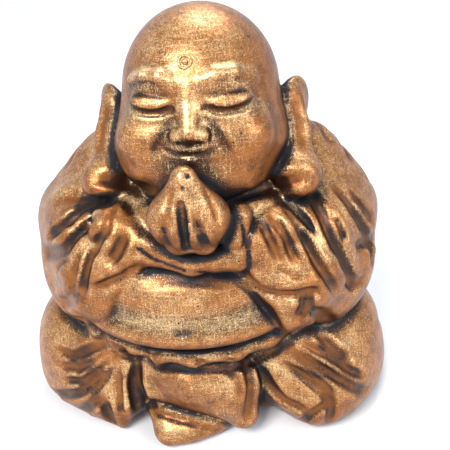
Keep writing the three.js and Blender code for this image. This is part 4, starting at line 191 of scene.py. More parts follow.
    ['shR1', 2.6, 2.6, [[59.4, 46.3, 170.3], [66.6, 34.9, 175.5], [73.3, 21.2, 176.1], [78.9, 7.2, 170.2]]],
    ['shR2', 2.6, 2.6, [[74, 48, 158], [82.3, 36.1, 162], [87.9, 21.8, 162.1], [91.9, 7.4, 157.9]]],
    ['shR3', 2.2, 2.6, [[88.1, 40.1, 146.1], [98, 23.7, 147.6], [105.4, 5.6, 141.4]]],
    ['shL1', 2.2, 2.8, [[-61.1, 46.2, 168.1], [-70.4, 33.5, 171.9], [-78.6, 19.3, 169.3], [-84.8, 5.8, 160.8]]],
    ['shL2', 2.2, 2.8, [[-81.7, 41.8, 151.8], [-89.5, 29.4, 152.7], [-95.7, 16.6, 150.6], [-101.6, 3.5, 145.2]]],
]
# finer work that only the sculpted surface carries
DETAIL = [
    ['dA', 1.2, 1.8, [[72.6, -27, 155.9], [76.8, -32, 152.7], [80.4, -36.5, 148.2], [84.1, -38.9, 141.9]]],
    ['dB', 1.1, 1.8, [[88.1, -18.1, 152.2], [93.8, -20.2, 145.3], [99.1, -19.1, 135.3]]],
    ['dC', 1.1, 1.8, [[57.7, -40.9, 153.7], [61.8, -45.3, 148.7], [65.9, -50.8, 143]]],
    ['dD', 1, 1.8, [[42.7, -56.4, 159.2], [45.7, -61.7, 155.8], [48.7, -64.5, 149.5]]],
    ['dE', 1.1, 1.8, [[-78, -37, 149.3], [-71.2, -35.2, 152.8], [-63.6, -34.2, 153.9]]],
    ['dF', 1.1, 1.8, [[-60.7, -49.5, 145.8], [-58, -44.4, 149.2], [-46.2, -58.5, 161.7]]],
    ['dG', 1.2, 1.8, [[-68.1, -64, 127.4], [-63.5, -61.7, 133.9], [-59.3, -58.5, 139.7]]],
    ['dH', 1.1, 1.8, [[-49.6, -67.2, 136.3], [-45.2, -66.2, 144], [-39, -68, 152]]],
    ['dI', 1.1, 1.8, [[-81.9, -51.4, 119.8], [-75.6, -56.2, 128.1], [-70, -58.4, 132.4]]],
    ['dJ', 1.2, 1.7, [[-61.4, -57.1, 65.7], [-70, -56.5, 61.7], [-79.4, -54.6, 55.6], [-87.8, -53.9, 48.7]]],
    ['dK', 1.2, 1.7, [[-60.1, -59.1, 62.6], [-67.4, -59.1, 57.6], [-75.5, -58.1, 50.5], [-83.5, -57.9, 43.9]]],
    ['dL', 1.1, 1.7, [[-59.4, -60.6, 57.3], [-66.6, -60.5, 49.4], [-73.5, -61.6, 42.5], [-81.1, -62.4, 36.1]]],
    ['dM', 1.1, 1.7, [[-57.8, -61, 50.9], [-62.6, -62.4, 43.5], [-67.7, -64.9, 37.2], [-73.1, -66.6, 29.9]]],
    ['dN', 1.2, 1.7, [[59.5, -59, 63.3], [67.2, -59.4, 58.1], [74.6, -59.3, 50.6], [82.6, -60, 43]]],
    ['dO', 1.2, 1.7, [[57, -60.4, 59.8], [63.6, -61, 53.1], [70.3, -62, 45.6], [77.6, -64.1, 38.6]]],
    ['dP', 1.1, 1.7, [[52.2, -60.6, 55], [57, -61.5, 49.3], [62.4, -63.2, 43.4], [67.2, -65.2, 38.7], [72.7, -67, 33]]],
    ['dQ', 1.2, 1.7, [[69.2, -54.3, 65.4], [76.5, -54.8, 59.4], [84, -54.4, 51.6], [91.7, -54.7, 42.7]]],
    ['dR', 1, 1.7, [[73.4, -52.6, 135.1], [77.2, -54.7, 127.2], [80.2, -55.6, 117.2]]],
    ['dS', 1, 1.7, [[49.5, -69.2, 131.3], [54.7, -69.3, 127.4], [61, -68.1, 125.2]]],
    ['dT', 0.9, 1.6, [[-51.5, -59.9, 60.1], [-46.3, -59.2, 57.7], [-40.6, -60.8, 55.1]]],
    ['dU', 0.9, 1.6, [[27.8, -58.9, 54.6], [36.4, -56, 56.2], [45.1, -58.1, 62.3]]],
]
# how black the undercoat shows in each fold
INK = {'lsA': 0.3, 'lsB': 0.5, 'lsC': 0.85, 'lsD': 0.2, 'lsE': 0.9, 'lsF': 0.9, 'lsG': 0.2, 'lsHem2': 0.35, 'rsC': 0.25, 'rsE': 1, 'rsF': 0.9, 'rsHem2': 0.35, 'rsA': 0.25, 'rsB': 0.2, 'cuL': 1, 'cuR': 1, 'navel': 1, 'blt1': 0.4, 'blt2': 0.35, 'lkA': 0.6, 'lkB': 0.8, 'lkC': 0.6, 'lkD': 1, 'lkE': 1, 'lkI': 0.3, 'shR': 0.25, 'shL': 0.5, 'shF': 0.35, 'rkC': 0.5, 'rkA': 0.25, 'rkB': 0.4, 'rkD': 0.4, 'colL2': 0.5, 'colR2': 0.7, 'hA': 1, 'hB': 1, 'hC': 1, 'hD': 0.9, 'hE': 0.9, 'hF': 0.3, 'hG': 0.2, 'pit1': 0.9, 'bh1': 1, 'bh2': 1, 'bh3': 1, 'bEdge': 0.15, 'lidL': 0.9, 'lidR': 0.9, 'lid2L': 0.35, 'lid2R': 0.35, 'smileL': 0.35, 'smileR': 0.35, 'cornerL': 0.7, 'cornerR': 0.7, 'wingL': 0.5, 'wingR': 0.5, 'nostL': 0.9, 'nostR': 0.9, 'mouthline': 0.9, 'philtrum': 0.1, 'earL': 0.3, 'earR': 0.3}
BEAD_AT = (5.2, -58.0, 244.0)

# ---- distance field ---------------------------------------------------------------------
f4 = np.float32
def smin(a, b, k):
    if k <= 0: return np.minimum(a, b)
    h = np.maximum(k - np.abs(a - b), 0) / k
    return np.minimum(a, b) - h * h * (k * 0.25)
def rot(r):
    a, b, c = np.radians(r)
    X = np.array([[1, 0, 0], [0, np.cos(a), -np.sin(a)], [0, np.sin(a), np.cos(a)]])
    Y = np.array([[np.cos(b), 0, np.sin(b)], [0, 1, 0], [-np.sin(b), 0, np.cos(b)]])
    Z = np.array([[np.cos(c), -np.sin(c), 0], [np.sin(c), np.cos(c), 0], [0, 0, 1]])
    return (Z @ Y @ X).astype(f4)
def ell(P, m):
    Q = P - np.array(m['c'], f4)
    if 'R' in m: Q = Q @ rot(m['R'])
    r = np.array(m['r'], f4)
    A = Q / r; B = A / r
    k0 = np.sqrt(np.einsum('ij,ij->i', A, A)); k1 = np.sqrt(np.einsum('ij,ij->i', B, B)) + f4(1e-9)
    return k0 * (k0 - 1) / k1
def cone(P, a, b, ra, rb):
    a = np.array(a, f4); ab = np.array(b, f4) - a
    Q = P - a; t = np.clip((Q @ ab) / max(float(ab @ ab), 1e-9), 0, 1)
    D = Q - t[:, None] * ab
    return np.sqrt(np.einsum('ij,ij->i', D, D)) - (ra + (rb - ra) * t)
def prim(P, m):
    if m['t'] == 'e': return ell(P, m)
    d = None
    for i in range(len(m['p']) - 1):
        e = cone(P, m['p'][i], m['p'][i + 1], m['r'][i], m['r'][i + 1])
        d = e if d is None else smin(d, e, m.get('kk', 0))
    return d
def reach(g):
    lo = np.full(3, 1e9); hi = -lo
    for m in g['m']:
        if m['t'] == 'e':
            q = np.array(m['c'], float); r = np.full(3, max(m['r'])) if 'R' in m else np.array(m['r'], float)
            lo = np.minimum(lo, q - r); hi = np.maximum(hi, q + r)
        else:
            for q, r in zip(m['p'], m['r']):
                lo = np.minimum(lo, np.array(q) - r); hi = np.maximum(hi, np.array(q) + r)
    pad = 14 + g.get('K', 2) + g['k']
    return (lo - pad).astype(f4), (hi + pad).astype(f4)
BOXES = [reach(g) for g in MASSES]
def masses(P):
    d = None
    for g, (lo, hi) in zip(MASSES, BOXES):
        full = d is None
        if not full:
            sel = np.nonzero(((P > lo) & (P < hi)).all(1))[0]
            if len(sel) == 0: continue
            Q = P[sel]
        else: Q = P
        e = None
        for m in g['m']:
            v = prim(Q, m); e = v if e is None else smin(e, v, m.get('k', g['k']))
        if full: d = e
        else: d[sel] = smin(d[sel], e, g['K'])
    return d
def polyline(P, pts):
    pts = np.array(pts, f4); best = np.full(len(P), 1e9, f4); along = np.zeros(len(P), f4)
    seg = np.linalg.norm(np.diff(pts, axis=0), axis=1); L = np.r_[0, np.cumsum(seg)]
    for i in range(len(pts) - 1):
        ab = pts[i + 1] - pts[i]; Q = P - pts[i]
        t = np.clip((Q @ ab) / max(float(ab @ ab), 1e-9), 0, 1)
        D = Q - t[:, None] * ab; q = np.einsum('ij,ij->i', D, D)
        m = q < best; best = np.where(m, q, best); along = np.where(m, L[i] + t * seg[i], along)
    return np.sqrt(best), along / max(L[-1], 1e-6)
STROKES = [(n, dep, w, pts) for n, dep, w, pts in FOLDS + DETAIL]
def folds(P):
    s = np.zeros(len(P), f4)
    for n, dep, w, pts in STROKES:
        a = np.array(pts, f4); R = w * 4.0
        sel = np.nonzero(((P > a.min(0) - R) & (P < a.max(0) + R)).all(1))[0]
        if len(sel) == 0: continue
        q, t = polyline(P[sel], pts)
        taper = np.clip(np.minimum(t, 1 - t) * 5 + 0.35, 0, 1)
        s[sel] += dep * taper * (np.exp(-(q * q) / (w * w)) - (0.22 if dep > 2 else 0) * np.exp(-((q - 2.2 * w) ** 2) / (1.4 * w * w)))
    return s
def inked(P):
    s = np.zeros(len(P), f4)
    for n, dep, w, pts in STROKES:
        k = INK.get(n, 0.12 if dep > 0 else 0)
        if k <= 0: continue
        a = np.array(pts, f4); R = w * 3.0
        sel = np.nonzero(((P > a.min(0) - R) & (P < a.max(0) + R)).all(1))[0]
        if len(sel) == 0: continue
        q, t = polyline(P[sel], pts); v = w * 0.8
        s[sel] = np.maximum(s[sel], k * np.clip(np.minimum(t, 1 - t) * 6 + 0.4, 0, 1) * np.exp(-(q * q) / (v * v)))
    return s
def board_seat(P):   # the rebate and the mouth in the underside
    x = P[:, 0]; y = P[:, 1] - 4.0
    r = np.sqrt((x / 98.0) ** 2 + (y / 45.0) ** 2) + 1e-6
    oval = (r - 1) * 45.0
    a = np.maximum(oval, P[:, 2] - (BASE_Z + 3.6)); b = np.maximum(oval + 6.0, P[:, 2] - (BASE_Z + 14))
    return np.minimum(a, b)
def figure(P):
    d = masses(P) + folds(P)
    low = P[:, 2] < 24
    if low.any():
        q = P[low]
        d[low] = np.maximum(-smin(-d[low], q[:, 2] - BASE_Z, 0.6), -board_seat(q))
    return d

# ---- the surface -------------------------------------------------------------------------------
def axis(spans):   # [(from, to, step), ...]
    out = [spans[0][0]]
    for a, b, h in spans:
        n = max(1, round((b - a) / h)); out += list(a + (b - a) * np.arange(1, n + 1) / n)
    return np.array(out, f4)
XS = axis([(-130, -62, 1.9), (-62, 70, 1.45), (70, 134, 1.9)])
YS = axis([(-98, -28, 1.45), (-28, 84, 2.4)])
ZS = axis([(-3, 148, 1.65), (148, 244, 1.4), (244, 264, 1.9)])

def simple_table():
    def whole(s):
        if not s: return True
        g = s & -s
        for _ in range(8):
            for c in range(8):
                if g >> c & 1:
                    for b in (1, 2, 4):
                        if s >> (c ^ b) & 1: g |= 1 << (c ^ b)
        return g == s
    return np.array([whole(m) and whole(255 & ~m) for m in range(256)])

def sculpt():
    nx, ny, nz = len(XS), len(YS), len(ZS); B = 6
    cx, cy, cz = [np.array([A[min(i + B // 2, len(A) - 1)] for i in range(0, len(A), B)]) for A in (XS, YS, ZS)]
    C = np.stack(np.meshgrid(cx, cy, cz, indexing='ij'), -1).reshape(-1, 3).astype(f4)
    dc = figure(C).reshape(len(cx), len(cy), len(cz))
    near = np.abs(dc) < 15.0
    rep = lambda A: A.repeat(B, 0).repeat(B, 1).repeat(B, 2)[:nx, :ny, :nz]
    V = rep(dc).astype(f4).copy(); sel = np.nonzero(rep(near))
    P = np.stack([XS[sel[0]], YS[sel[1]], ZS[sel[2]]], 1)
    vals = np.empty(len(P), f4)
    for i in range(0, len(P), 200000): vals[i:i + 200000] = figure(P[i:i + 200000])
    V[sel] = vals
    table = simple_table(); bits = [(c & 1, c >> 1 & 1, c >> 2) for c in range(8)]
    for _ in range(40):
        code = np.zeros((nx - 1, ny - 1, nz - 1), np.uint8)
        for c, (i, j, k) in enumerate(bits):
            code |= ((V[i:nx - 1 + i, j:ny - 1 + j, k:nz - 1 + k] < 0).astype(np.uint8) << c)
        bad = np.argwhere(~table[code])
        if len(bad) == 0: break
        for q in bad:
            best, bv = None, 1e9
            for i, j, k in bits:
                v = V[q[0] + i, q[1] + j, q[2] + k]
                if v >= 0 and v < bv: best, bv = (q[0] + i, q[1] + j, q[2] + k), v
            if best: V[best] = -0.01
    act = np.nonzero((code > 0) & (code < 255)); n = len(act[0])
    idx = np.full(code.shape, -1, np.int32); idx[act] = np.arange(n)
    acc = np.zeros((n, 3)); cnt = np.zeros(n)
    corner = [V[act[0] + i, act[1] + j, act[2] + k] for i, j, k in bits]
    for c in range(8):
        for b in (1, 2, 4):
            e = c | b
            if e == c: continue
            va, vb = corner[c], corner[e]; m = (va < 0) != (vb < 0)
            t = np.where(m, va / np.where(m, va - vb, 1), 0)
            p = np.array(bits[c], float)[None, :].repeat(n, 0); p[:, {1: 0, 2: 1, 4: 2}[b]] += t
            acc[m] += p[m]; cnt[m] += 1
    frac = acc / cnt[:, None]
    co = np.stack([A[a] + fr * (A[a + 1] - A[a]) for A, a, fr in zip((XS, YS, ZS), act, frac.T)], 1).astype(f4)
    faces = []
    S = V < 0
    def quads(m, flip, cells):
        q = np.stack([idx[tuple(c)] for c in cells], 1)
        faces.append(np.where(flip[:, None], q[:, ::-1], q))
    a = np.argwhere(S[:-1, 1:-1, 1:-1] != S[1:, 1:-1, 1:-1]) + [0, 1, 1]
    i, j, k = a.T; quads(a, ~S[i, j, k], [(i, j - 1, k - 1), (i, j, k - 1), (i, j, k), (i, j - 1, k)])
    a = np.argwhere(S[1:-1, :-1, 1:-1] != S[1:-1, 1:, 1:-1]) + [1, 0, 1]
    i, j, k = a.T; quads(a, ~S[i, j, k], [(i - 1, j, k - 1), (i - 1, j, k), (i, j, k), (i, j, k - 1)])
    a = np.argwhere(S[1:-1, 1:-1, :-1] != S[1:-1, 1:-1, 1:]) + [1, 1, 0]
    i, j, k = a.T; quads(a, ~S[i, j, k], [(i - 1, j - 1, k), (i, j - 1, k), (i, j, k), (i - 1, j, k)])
    F = np.concatenate(faces)
    # keep the outer skin only
    lab = np.arange(n)
    E = np.concatenate([F[:, [0, 1]], F[:, [1, 2]], F[:, [2, 3]], F[:, [3, 0]]])
    for _ in range(400):
        m = np.minimum(lab[E[:, 0]], lab[E[:, 1]]); old = lab.copy()
        np.minimum.at(lab, E[:, 0], m); np.minimum.at(lab, E[:, 1], m); lab = lab[lab]
        if (lab == old).all(): break
    u, c = np.unique(lab, return_counts=True); keep = lab == u[c.argmax()]
    mp = np.cumsum(keep) - 1
    F = mp[F[keep[F[:, 0]]]]; co = co[keep]
    for _ in range(2):   # settle the points on the surface
        g = slope(co, 0.35); d = figure(co)
        step = np.clip(d / (np.einsum('ij,ij->i', g, g) + 1e-4), -0.5, 0.5) * 0.7
        step[co[:, 2] < BASE_Z + 4] = 0
        co = co - g * step[:, None]
    return co, F
def slope(P, e):
    g = []
    for k in range(3):
        v = np.zeros(3, f4); v[k] = e
        g.append((figure(P + v) - figure(P - v)) / (2 * e))
    return np.stack(g, 1)

co, F = sculpt()
N = slope(co, 0.5); N /= np.linalg.norm(N, axis=1, keepdims=True) + 1e-9
def occ(t): return np.clip(1 - figure(co + N * f4(t)) / t, 0, 1.6)
def con(t): return np.clip(1 + figure(co - N * f4(t)) / t, -1, 1)
o2, o6, o15 = occ(2.2), occ(6), occ(15)
# cav: black undercoat left in tight creases; its wider occlusion terms also paint shade into the hollows
cav = 0.52 * o2 + 0.44 * o6 + 0.12 * o15
# wide occlusion: painted shade that browns the broad hollows and holds back the gold
painted_shade_wide = 0.25 * o2 + 0.4 * o6 + 0.5 * o15
edge = 0.6 * con(2.5) + 0.4 * con(7)
# lighter on faces turned up and to the front: partly dry-brushing from above, partly painted light falling from the
# upper front
brush_and_light_facing = 0.55 * N[:, 2] - 0.5 * N[:, 1]

def mesh_object(name, co_mm, faces, smooth=True):
    me = bpy.data.meshes.new(name)
    me.from_pydata(((co_mm + SHIFT) / 1000.0).tolist(), [], [list(map(int, f)) for f in faces])
    me.update()
    me.polygons.foreach_set('use_smooth', [smooth] * len(me.polygons))
    ob = bpy.data.objects.new(name, me); bpy.context.scene.collection.objects.link(ob)
    return ob
# the raised ring round the bead, joined to the casting's skin
seat = np.array([BEAD_AT], f4)
for _ in range(30):
    g = slope(seat, 0.5); g /= np.linalg.norm(g); seat = seat - 0.8 * figure(seat)[:, None] * g
g = slope(seat, 0.5)[0]; out = g / np.linalg.norm(g); seat = seat[0]
ax = np.cross([0, 0, 1.0], out); ax /= np.linalg.norm(ax); ay = np.cross(out, ax)
ring, rf = [], []
NR, NT = 40, 12
for i in range(NR):
    a = 2 * math.pi * i / NR; wob = 1 + 0.035 * math.sin(3 * a + 1) + 0.02 * math.sin(7 * a)
    for j in range(NT):
        b = 2 * math.pi * j / NT
        r = 2.95 * wob + 0.85 * math.cos(b); h = 0.8 * math.sin(b) - 0.05
        ring.append(seat + ax * (r * math.cos(a)) + ay * (r * math.sin(a)) + out * h)
        rf.append([i * NT + j, ((i + 1) % NR) * NT + j, ((i + 1) % NR) * NT + (j + 1) % NT, i * NT + (j + 1) % NT])
n0 = len(co)
allco = np.concatenate([co, np.array(ring, f4)]); allF = [list(f) for f in F] + [[v + n0 for v in f][::-1] for f in rf]
fig = mesh_object("buddha_figure", allco, allF)
def attr(name, main, rest):
    a = fig.data.attributes.new(name, 'FLOAT', 'POINT')
    a.data.foreach_set('value', np.concatenate([main, np.full(len(ring), rest)]).astype(f4))
ringb = np.array([math.sin(2 * math.pi * (i % NT) / NT) for i in range(len(ring))])
face = np.clip((-co[:, 1] - 44) / 8, 0, 1) * np.clip((co[:, 2] - 186) / 5, 0, 1)
cav = cav * (1 - face) + face * (0.55 * occ(2.2) + 0.15 * occ(6))
hands = cone(co, (3.5, -73, 150), (3.5, -77, 188), 17, 9)
cav = cav + 0.13 * np.clip(1 - hands / 6, 0, 1)
attr("cav", cav, 0.25); attr("ink", inked(co), 0.0); attr("edge", edge, 0.35); attr("brush_and_light_facing", brush_and_light_facing, 0.45); attr("painted_shade_wide", painted_shade_wide, 0.15)
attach(fig, "root"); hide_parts("figure_casting")

# ---- materials -------------------------------------------------------------------------------------
class Tree:
    def __init__(s, name):
        s.m = bpy.data.materials.new(name); s.m.use_nodes = True; s.t = s.m.node_tree
        s.t.nodes.clear()
        s.out = s.t.nodes.new('ShaderNodeOutputMaterial'); s.b = s.t.nodes.new('ShaderNodeBsdfPrincipled')
        s.t.links.new(s.b.outputs[0], s.out.inputs[0])
        s.co = s.t.nodes.new('ShaderNodeTexCoord').outputs['Object']
    def link(s, a, b): s.t.links.new(a, b)
    def put(s, sock, v):
        if hasattr(v, 'links') or isinstance(v, bpy.types.NodeSocket): s.link(v, sock)
        else: sock.default_value = v
    def math(s, op, a, b=0.0, c=None, clamp=False):
        n = s.t.nodes.new('ShaderNodeMath'); n.operation = op; n.use_clamp = clamp
        s.put(n.inputs[0], a); s.put(n.inputs[1], b)
        if c is not None: s.put(n.inputs[2], c)
        return n.outputs[0]
    def ramp(s, v, lo, hi, a=0.0, b=1.0):
        n = s.t.nodes.new('ShaderNodeMapRange'); n.interpolation_type = 'SMOOTHSTEP'
        s.put(n.inputs[0], v); n.inputs[1].default_value = lo; n.inputs[2].default_value = hi
        n.inputs[3].default_value = a; n.inputs[4].default_value = b
        return n.outputs[0]
    def mix(s, f, a, b, mode='MIX'):
        n = s.t.nodes.new('ShaderNodeMix'); n.data_type = 'RGBA'; n.blend_type = mode
        s.put(n.inputs[0], f); s.put(n.inputs[6], a); s.put(n.inputs[7], b)
        return n.outputs[2]
    def scaled(s, sc, r=(0, 0, 0)):
        n = s.t.nodes.new('ShaderNodeMapping'); s.link(s.co, n.inputs[0])
        n.inputs['Scale'].default_value = sc; n.inputs['Rotation'].default_value = r
        return n.outputs[0]
    def noise(s, scale, detail=3, rough=0.55, co=None, dist=0.0):
        n = s.t.nodes.new('ShaderNodeTexNoise'); s.link(co if co is not None else s.co, n.inputs['Vector'])
        n.inputs['Scale'].default_value = scale; n.inputs['Detail'].default_value = detail
        n.inputs['Roughness'].default_value = rough; n.inputs['Distortion'].default_value = dist
        return n.outputs[0]
    def voronoi(s, scale, co=None, rand=1.0):
        n = s.t.nodes.new('ShaderNodeTexVoronoi'); s.link(co if co is not None else s.co, n.inputs['Vector'])
        n.inputs['Scale'].default_value = scale; n.inputs['Randomness'].default_value = rand
        return n.outputs['Distance'], n.outputs['Color']
    def attr(s, name):
        n = s.t.nodes.new('ShaderNodeAttribute'); n.attribute_name = name; return n.outputs['Fac']
    def bump(s, h, strength, dist, normal=None):
        n = s.t.nodes.new('ShaderNodeBump'); n.inputs['Strength'].default_value = strength
        n.inputs['Distance'].default_value = dist; s.link(h, n.inputs['Height'])
        if normal is not None: s.link(normal, n.inputs['Normal'])
        return n.outputs[0]

def bronze(name, sculpted=True):
    T = Tree(name)
    cavv = T.attr('cav') if sculpted else 0.06
    edgv = T.attr('edge') if sculpted else 0.3
    ink = T.attr('ink') if sculpted else 0.0
    upv = T.attr('brush_and_light_facing') if sculpted else 0.4
    painted_shade_v = T.attr('painted_shade_wide') if sculpted else 0.1
    big = T.noise(38, 4, 0.6); mid = T.noise(150, 4, 0.6); fine = T.noise(900, 3, 0.7); grit = T.noise(2300, 2, 0.6)
    h1 = T.noise(1.0, 3, 0.6, T.scaled((70, 420, 1100), (0.15, 0.5, 0.35)))
    h2 = T.noise(1.0, 3, 0.6, T.scaled((1000, 380, 90), (0.2, -0.45, 0.2)))
    hatch = T.math('MAXIMUM', h1, h2)
    # how much paint lies here: lost in recesses, strongest on the crests; the black that comes from occlusion is partly
    # real undercoat and partly painted shade
    shade = T.math('ADD', cavv, T.math('MULTIPLY', T.math('SUBTRACT', mid, 0.5), 0.30))
    shade = T.math('ADD', shade, T.math('MULTIPLY', T.math('SUBTRACT', fine, 0.5), 0.5))
    shade = T.math('SUBTRACT', shade, T.math('MULTIPLY', edgv, 0.12))
    black = T.ramp(shade, 0.24, 0.50)
    line = T.math('ADD', ink, T.math('MULTIPLY', T.math('SUBTRACT', T.noise(520, 3, 0.7), 0.5), T.math('MULTIPLY', ink, 1.6)))
    black = T.math('MAXIMUM', black, T.ramp(line, 0.30, 0.62))
    # gold: dry-brushed gold on the crests, plus a painted highlight on faces turned up and to the front, held back by
    # the painted shade in broad hollows
    lift = T.math('ADD', T.math('MULTIPLY', upv, 0.78), T.math('MULTIPLY', edgv, 0.80))
    lift = T.math('ADD', lift, T.math('MULTIPLY', T.math('SUBTRACT', big, 0.5), 0.7))
    lift = T.math('ADD', lift, T.math('MULTIPLY', T.math('SUBTRACT', hatch, 0.55), 1.1))
    lift = T.math('ADD', lift, T.math('MULTIPLY', T.math('SUBTRACT', fine, 0.5), 0.55))
    lift = T.math('SUBTRACT', lift, T.math('MULTIPLY', painted_shade_v, 0.55))
    gold_and_highlight = T.ramp(lift, 0.30, 1.16)
    # base tone lighter on faces turned up and to the front: painted light
    tone = T.mix(T.ramp(T.math('ADD', mid, T.math('MULTIPLY', upv, 0.25)), 0.35, 0.75), (0.15, 0.045, 0.009, 1), (0.335, 0.112, 0.020, 1))
    # painted shade: broad hollows darkened to deep brown
    tone = T.mix(T.ramp(T.math('ADD', painted_shade_v, T.math('MULTIPLY', T.math('SUBTRACT', mid, 0.5), 0.2)), 0.13, 0.40), tone, (0.050, 0.016, 0.005, 1))
    col = T.mix(gold_and_highlight, tone, (0.81, 0.465, 0.155, 1))
    # painted glint: pale specks on the highlighted areas
    painted_glint = T.ramp(T.math('ADD', grit, T.math('MULTIPLY', lift, 0.30)), 0.66, 0.80)
    col = T.mix(T.math('MULTIPLY', painted_glint, 0.5), col, (1.0, 0.80, 0.50, 1))
    dirt = T.ramp(T.math('ADD', grit, T.math('MULTIPLY', gold_and_highlight, -0.1)), 0.43, 0.33)
    col = T.mix(T.math('MULTIPLY', dirt, 0.45), col, (0.055, 0.026, 0.012, 1))
    vd, vc = T.voronoi(260)
    sep = T.t.nodes.new('ShaderNodeSeparateColor'); T.link(vc, sep.inputs[0])
    pick = T.math('GREATER_THAN', sep.outputs[0], 0.93)
    pin = T.math('MULTIPLY', T.ramp(vd, 0.20, 0.10), pick)
    col = T.mix(black, col, (0.012, 0.011, 0.013, 1))
    col = T.mix(T.math('MULTIPLY', pin, 0.9), col, (0.01, 0.009, 0.008, 1))
    T.link(col, T.b.inputs['Base Color'])
    met = T.math('MULTIPLY', T.math('SUBTRACT', 1.0, black), 0.62)
    T.link(met, T.b.inputs['Metallic'])
    rgh = T.math('ADD', T.math('MULTIPLY', fine, 0.22), 0.24)
    T.link(T.math('ADD', rgh, T.math('MULTIPLY', black, 0.18)), T.b.inputs['Roughness'])
    T.link(T.math('SUBTRACT', 0.5, T.math('MULTIPLY', black, 0.34)), T.b.inputs['Specular IOR Level'])
    height = T.math('ADD', T.math('MULTIPLY', fine, 0.5), T.math('MULTIPLY', grit, 0.35))
    height = T.math('ADD', height, T.math('MULTIPLY', hatch, 0.55))
    height = T.math('SUBTRACT', height, T.math('MULTIPLY', pin, 1.2))
    nb = T.bump(mid, 0.5, 0.0007)
    T.link(T.bump(height, 0.55, 0.00035, nb), T.b.inputs['Normal'])
    return T.m
fig.data.materials.append(bronze("bronze_over_black"))
def dress(node, mat):
    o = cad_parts[node]; o.data.materials.clear(); o.data.materials.append(mat)
    for p in o.data.polygons: p.material_index = 0
    return o
bead = dress("urna_bead", bronze("bronze_bead", False))
bead.data.polygons.foreach_set('use_smooth', [True] * len(bead.data.polygons))

T = Tree("hardboard")
fib = T.noise(1.0, 4, 0.7, T.scaled((900, 260, 600))); blot = T.noise(30, 3, 0.5); fl = T.noise(1500, 2, 0.6)
c = T.mix(T.ramp(fib, 0.35, 0.65), (0.115, 0.062, 0.032, 1), (0.23, 0.135, 0.07, 1))
c = T.mix(T.ramp(blot, 0.4, 0.7), c, (0.15, 0.085, 0.05, 1)); c = T.mix(T.ramp(fl, 0.62, 0.72), c, (0.36, 0.25, 0.15, 1))
T.link(c, T.b.inputs['Base Color']); T.link(T.ramp(fib, 0, 1, 0.65, 0.9), T.b.inputs['Roughness'])
T.link(T.bump(fib, 0.5, 0.0003), T.b.inputs['Normal']); dress("base_board", T.m)
T = Tree("felt")
hair = T.noise(1.0, 5, 0.75, T.scaled((1800, 700, 1400), (0.4, 0.2, 0.7)), 2.0); lump = T.noise(220, 3, 0.6)
c = T.mix(T.ramp(hair, 0.35, 0.68), (0.018, 0.033, 0.023, 1), (0.075, 0.105, 0.08, 1)); c = T.mix(T.ramp(lump, 0.45, 0.7, 0, 0.5), c, (0.04, 0.06, 0.05, 1))
T.link(c, T.b.inputs['Base Color']); T.b.inputs['Roughness'].default_value = 0.95; T.b.inputs['Sheen Weight'].default_value = 0.35
T.link(T.bump(hair, 0.8, 0.0004), T.b.inputs['Normal'])
for n in ("felt_pad_front_left", "felt_pad_front_right", "felt_pad_rear_left", "felt_pad_rear_right"): dress(n, T.m)

# ---- stage, lights, camera ---------------------------------------------------------------------------
me = bpy.data.meshes.new("floor"); s = 6.0
me.from_pydata([(-s, -s, 0), (s, -s, 0), (s, s, 0), (-s, s, 0)], [], [(0, 1, 2, 3)]); me.update()
floor = bpy.data.objects.new("floor", me); bpy.context.scene.collection.objects.link(floor)
T = Tree("pale_floor"); gr = T.noise(6, 3, 0.5)
T.link(T.mix(gr, (0.76, 0.77, 0.79, 1), (0.84, 0.845, 0.86, 1)), T.b.inputs['Base Color']); T.b.inputs['Roughness'].default_value = 0.75
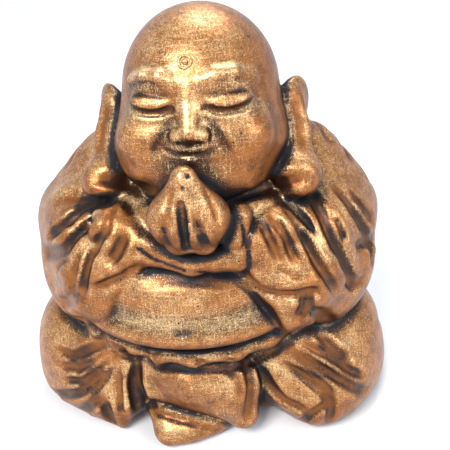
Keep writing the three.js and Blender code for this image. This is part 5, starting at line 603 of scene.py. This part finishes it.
# painted light: the floor glows pale blue, more strongly the further it is from the figure
d = T.t.nodes.new('ShaderNodeVectorMath'); d.operation = 'LENGTH'; T.link(T.co, d.inputs[0])
T.b.inputs['Emission Color'].default_value = (0.80, 0.88, 0.97, 1); T.link(T.ramp(d.outputs['Value'], 0.35, 1.3, 0.0, 0.55), T.b.inputs['Emission Strength'])
me.materials.append(T.m)
n = 96; R0 = 4.0; wall = bpy.data.meshes.new("backdrop")
vs = [(R0 * math.cos(2 * math.pi * i / n), R0 * math.sin(2 * math.pi * i / n), z) for z in (0.0, 3.2) for i in range(n)]
wall.from_pydata(vs, [], [(i, (i + 1) % n, n + (i + 1) % n, n + i) for i in range(n)]); wall.update()
wo = bpy.data.objects.new("backdrop", wall); bpy.context.scene.collection.objects.link(wo)
T = Tree("pale_wall"); T.b.inputs['Base Color'].default_value = (0.78, 0.83, 0.88, 1); T.b.inputs['Roughness'].default_value = 0.9
T.b.inputs['Emission Color'].default_value = (0.80, 0.88, 0.96, 1); T.b.inputs['Emission Strength'].default_value = 0.25
wall.materials.append(T.m)
w = bpy.data.worlds.new("studio"); bpy.context.scene.world = w; w.use_nodes = True
w.node_tree.nodes['Background'].inputs[0].default_value = (0.93, 0.95, 1.0, 1); w.node_tree.nodes['Background'].inputs[1].default_value = 0.38
def area(name, pos, aim, size, power, col=(1, 1, 1)):
    L = bpy.data.lights.new(name, 'AREA'); L.shape = 'RECTANGLE'; L.size = size[0]; L.size_y = size[1]; L.energy = power; L.color = col
    o = bpy.data.objects.new(name, L); bpy.context.scene.collection.objects.link(o)
    o.location = pos; o.rotation_euler = (Vector(aim) - Vector(pos)).to_track_quat('-Z', 'Y').to_euler()
area("key", (-0.35, -0.75, 1.05), (0, 0, 0.13), (0.5, 0.4), 17.5, (1, 0.985, 0.96))
area("fill", (0.85, -0.55, 0.75), (0, 0, 0.12), (0.5, 0.7), 6.0, (0.95, 0.97, 1))
area("top", (0.1, 0.55, 1.1), (0, 0, 0.16), (0.6, 0.5), 8.0)

a, e = math.radians(6.5), math.radians(31.0)
back = Vector((math.sin(a) * math.cos(e), -math.cos(a) * math.cos(e), math.sin(e)))
aim = Vector((13 + SHIFT[0], 0 + SHIFT[1], 118)) / 1000
right = (-back).cross(Vector((0, 0, 1))).normalized(); upv = right.cross(-back)
r = math.radians(-4.3)
right, upv = right * math.cos(r) + upv * math.sin(r), upv * math.cos(r) - right * math.sin(r)
cam = bpy.data.cameras.new("camera"); cam.sensor_width = 36; cam.lens = 46.0; cam.clip_start = 0.01
co_ = bpy.data.objects.new("camera", cam); bpy.context.scene.collection.objects.link(co_)
M = Matrix((right, upv, back)).transposed().to_4x4(); M.translation = aim + back * 0.372
co_.matrix_world = M
bpy.context.scene.camera = co_
bpy.context.scene.view_settings.view_transform = 'Standard'
bpy.context.view_layer.update()
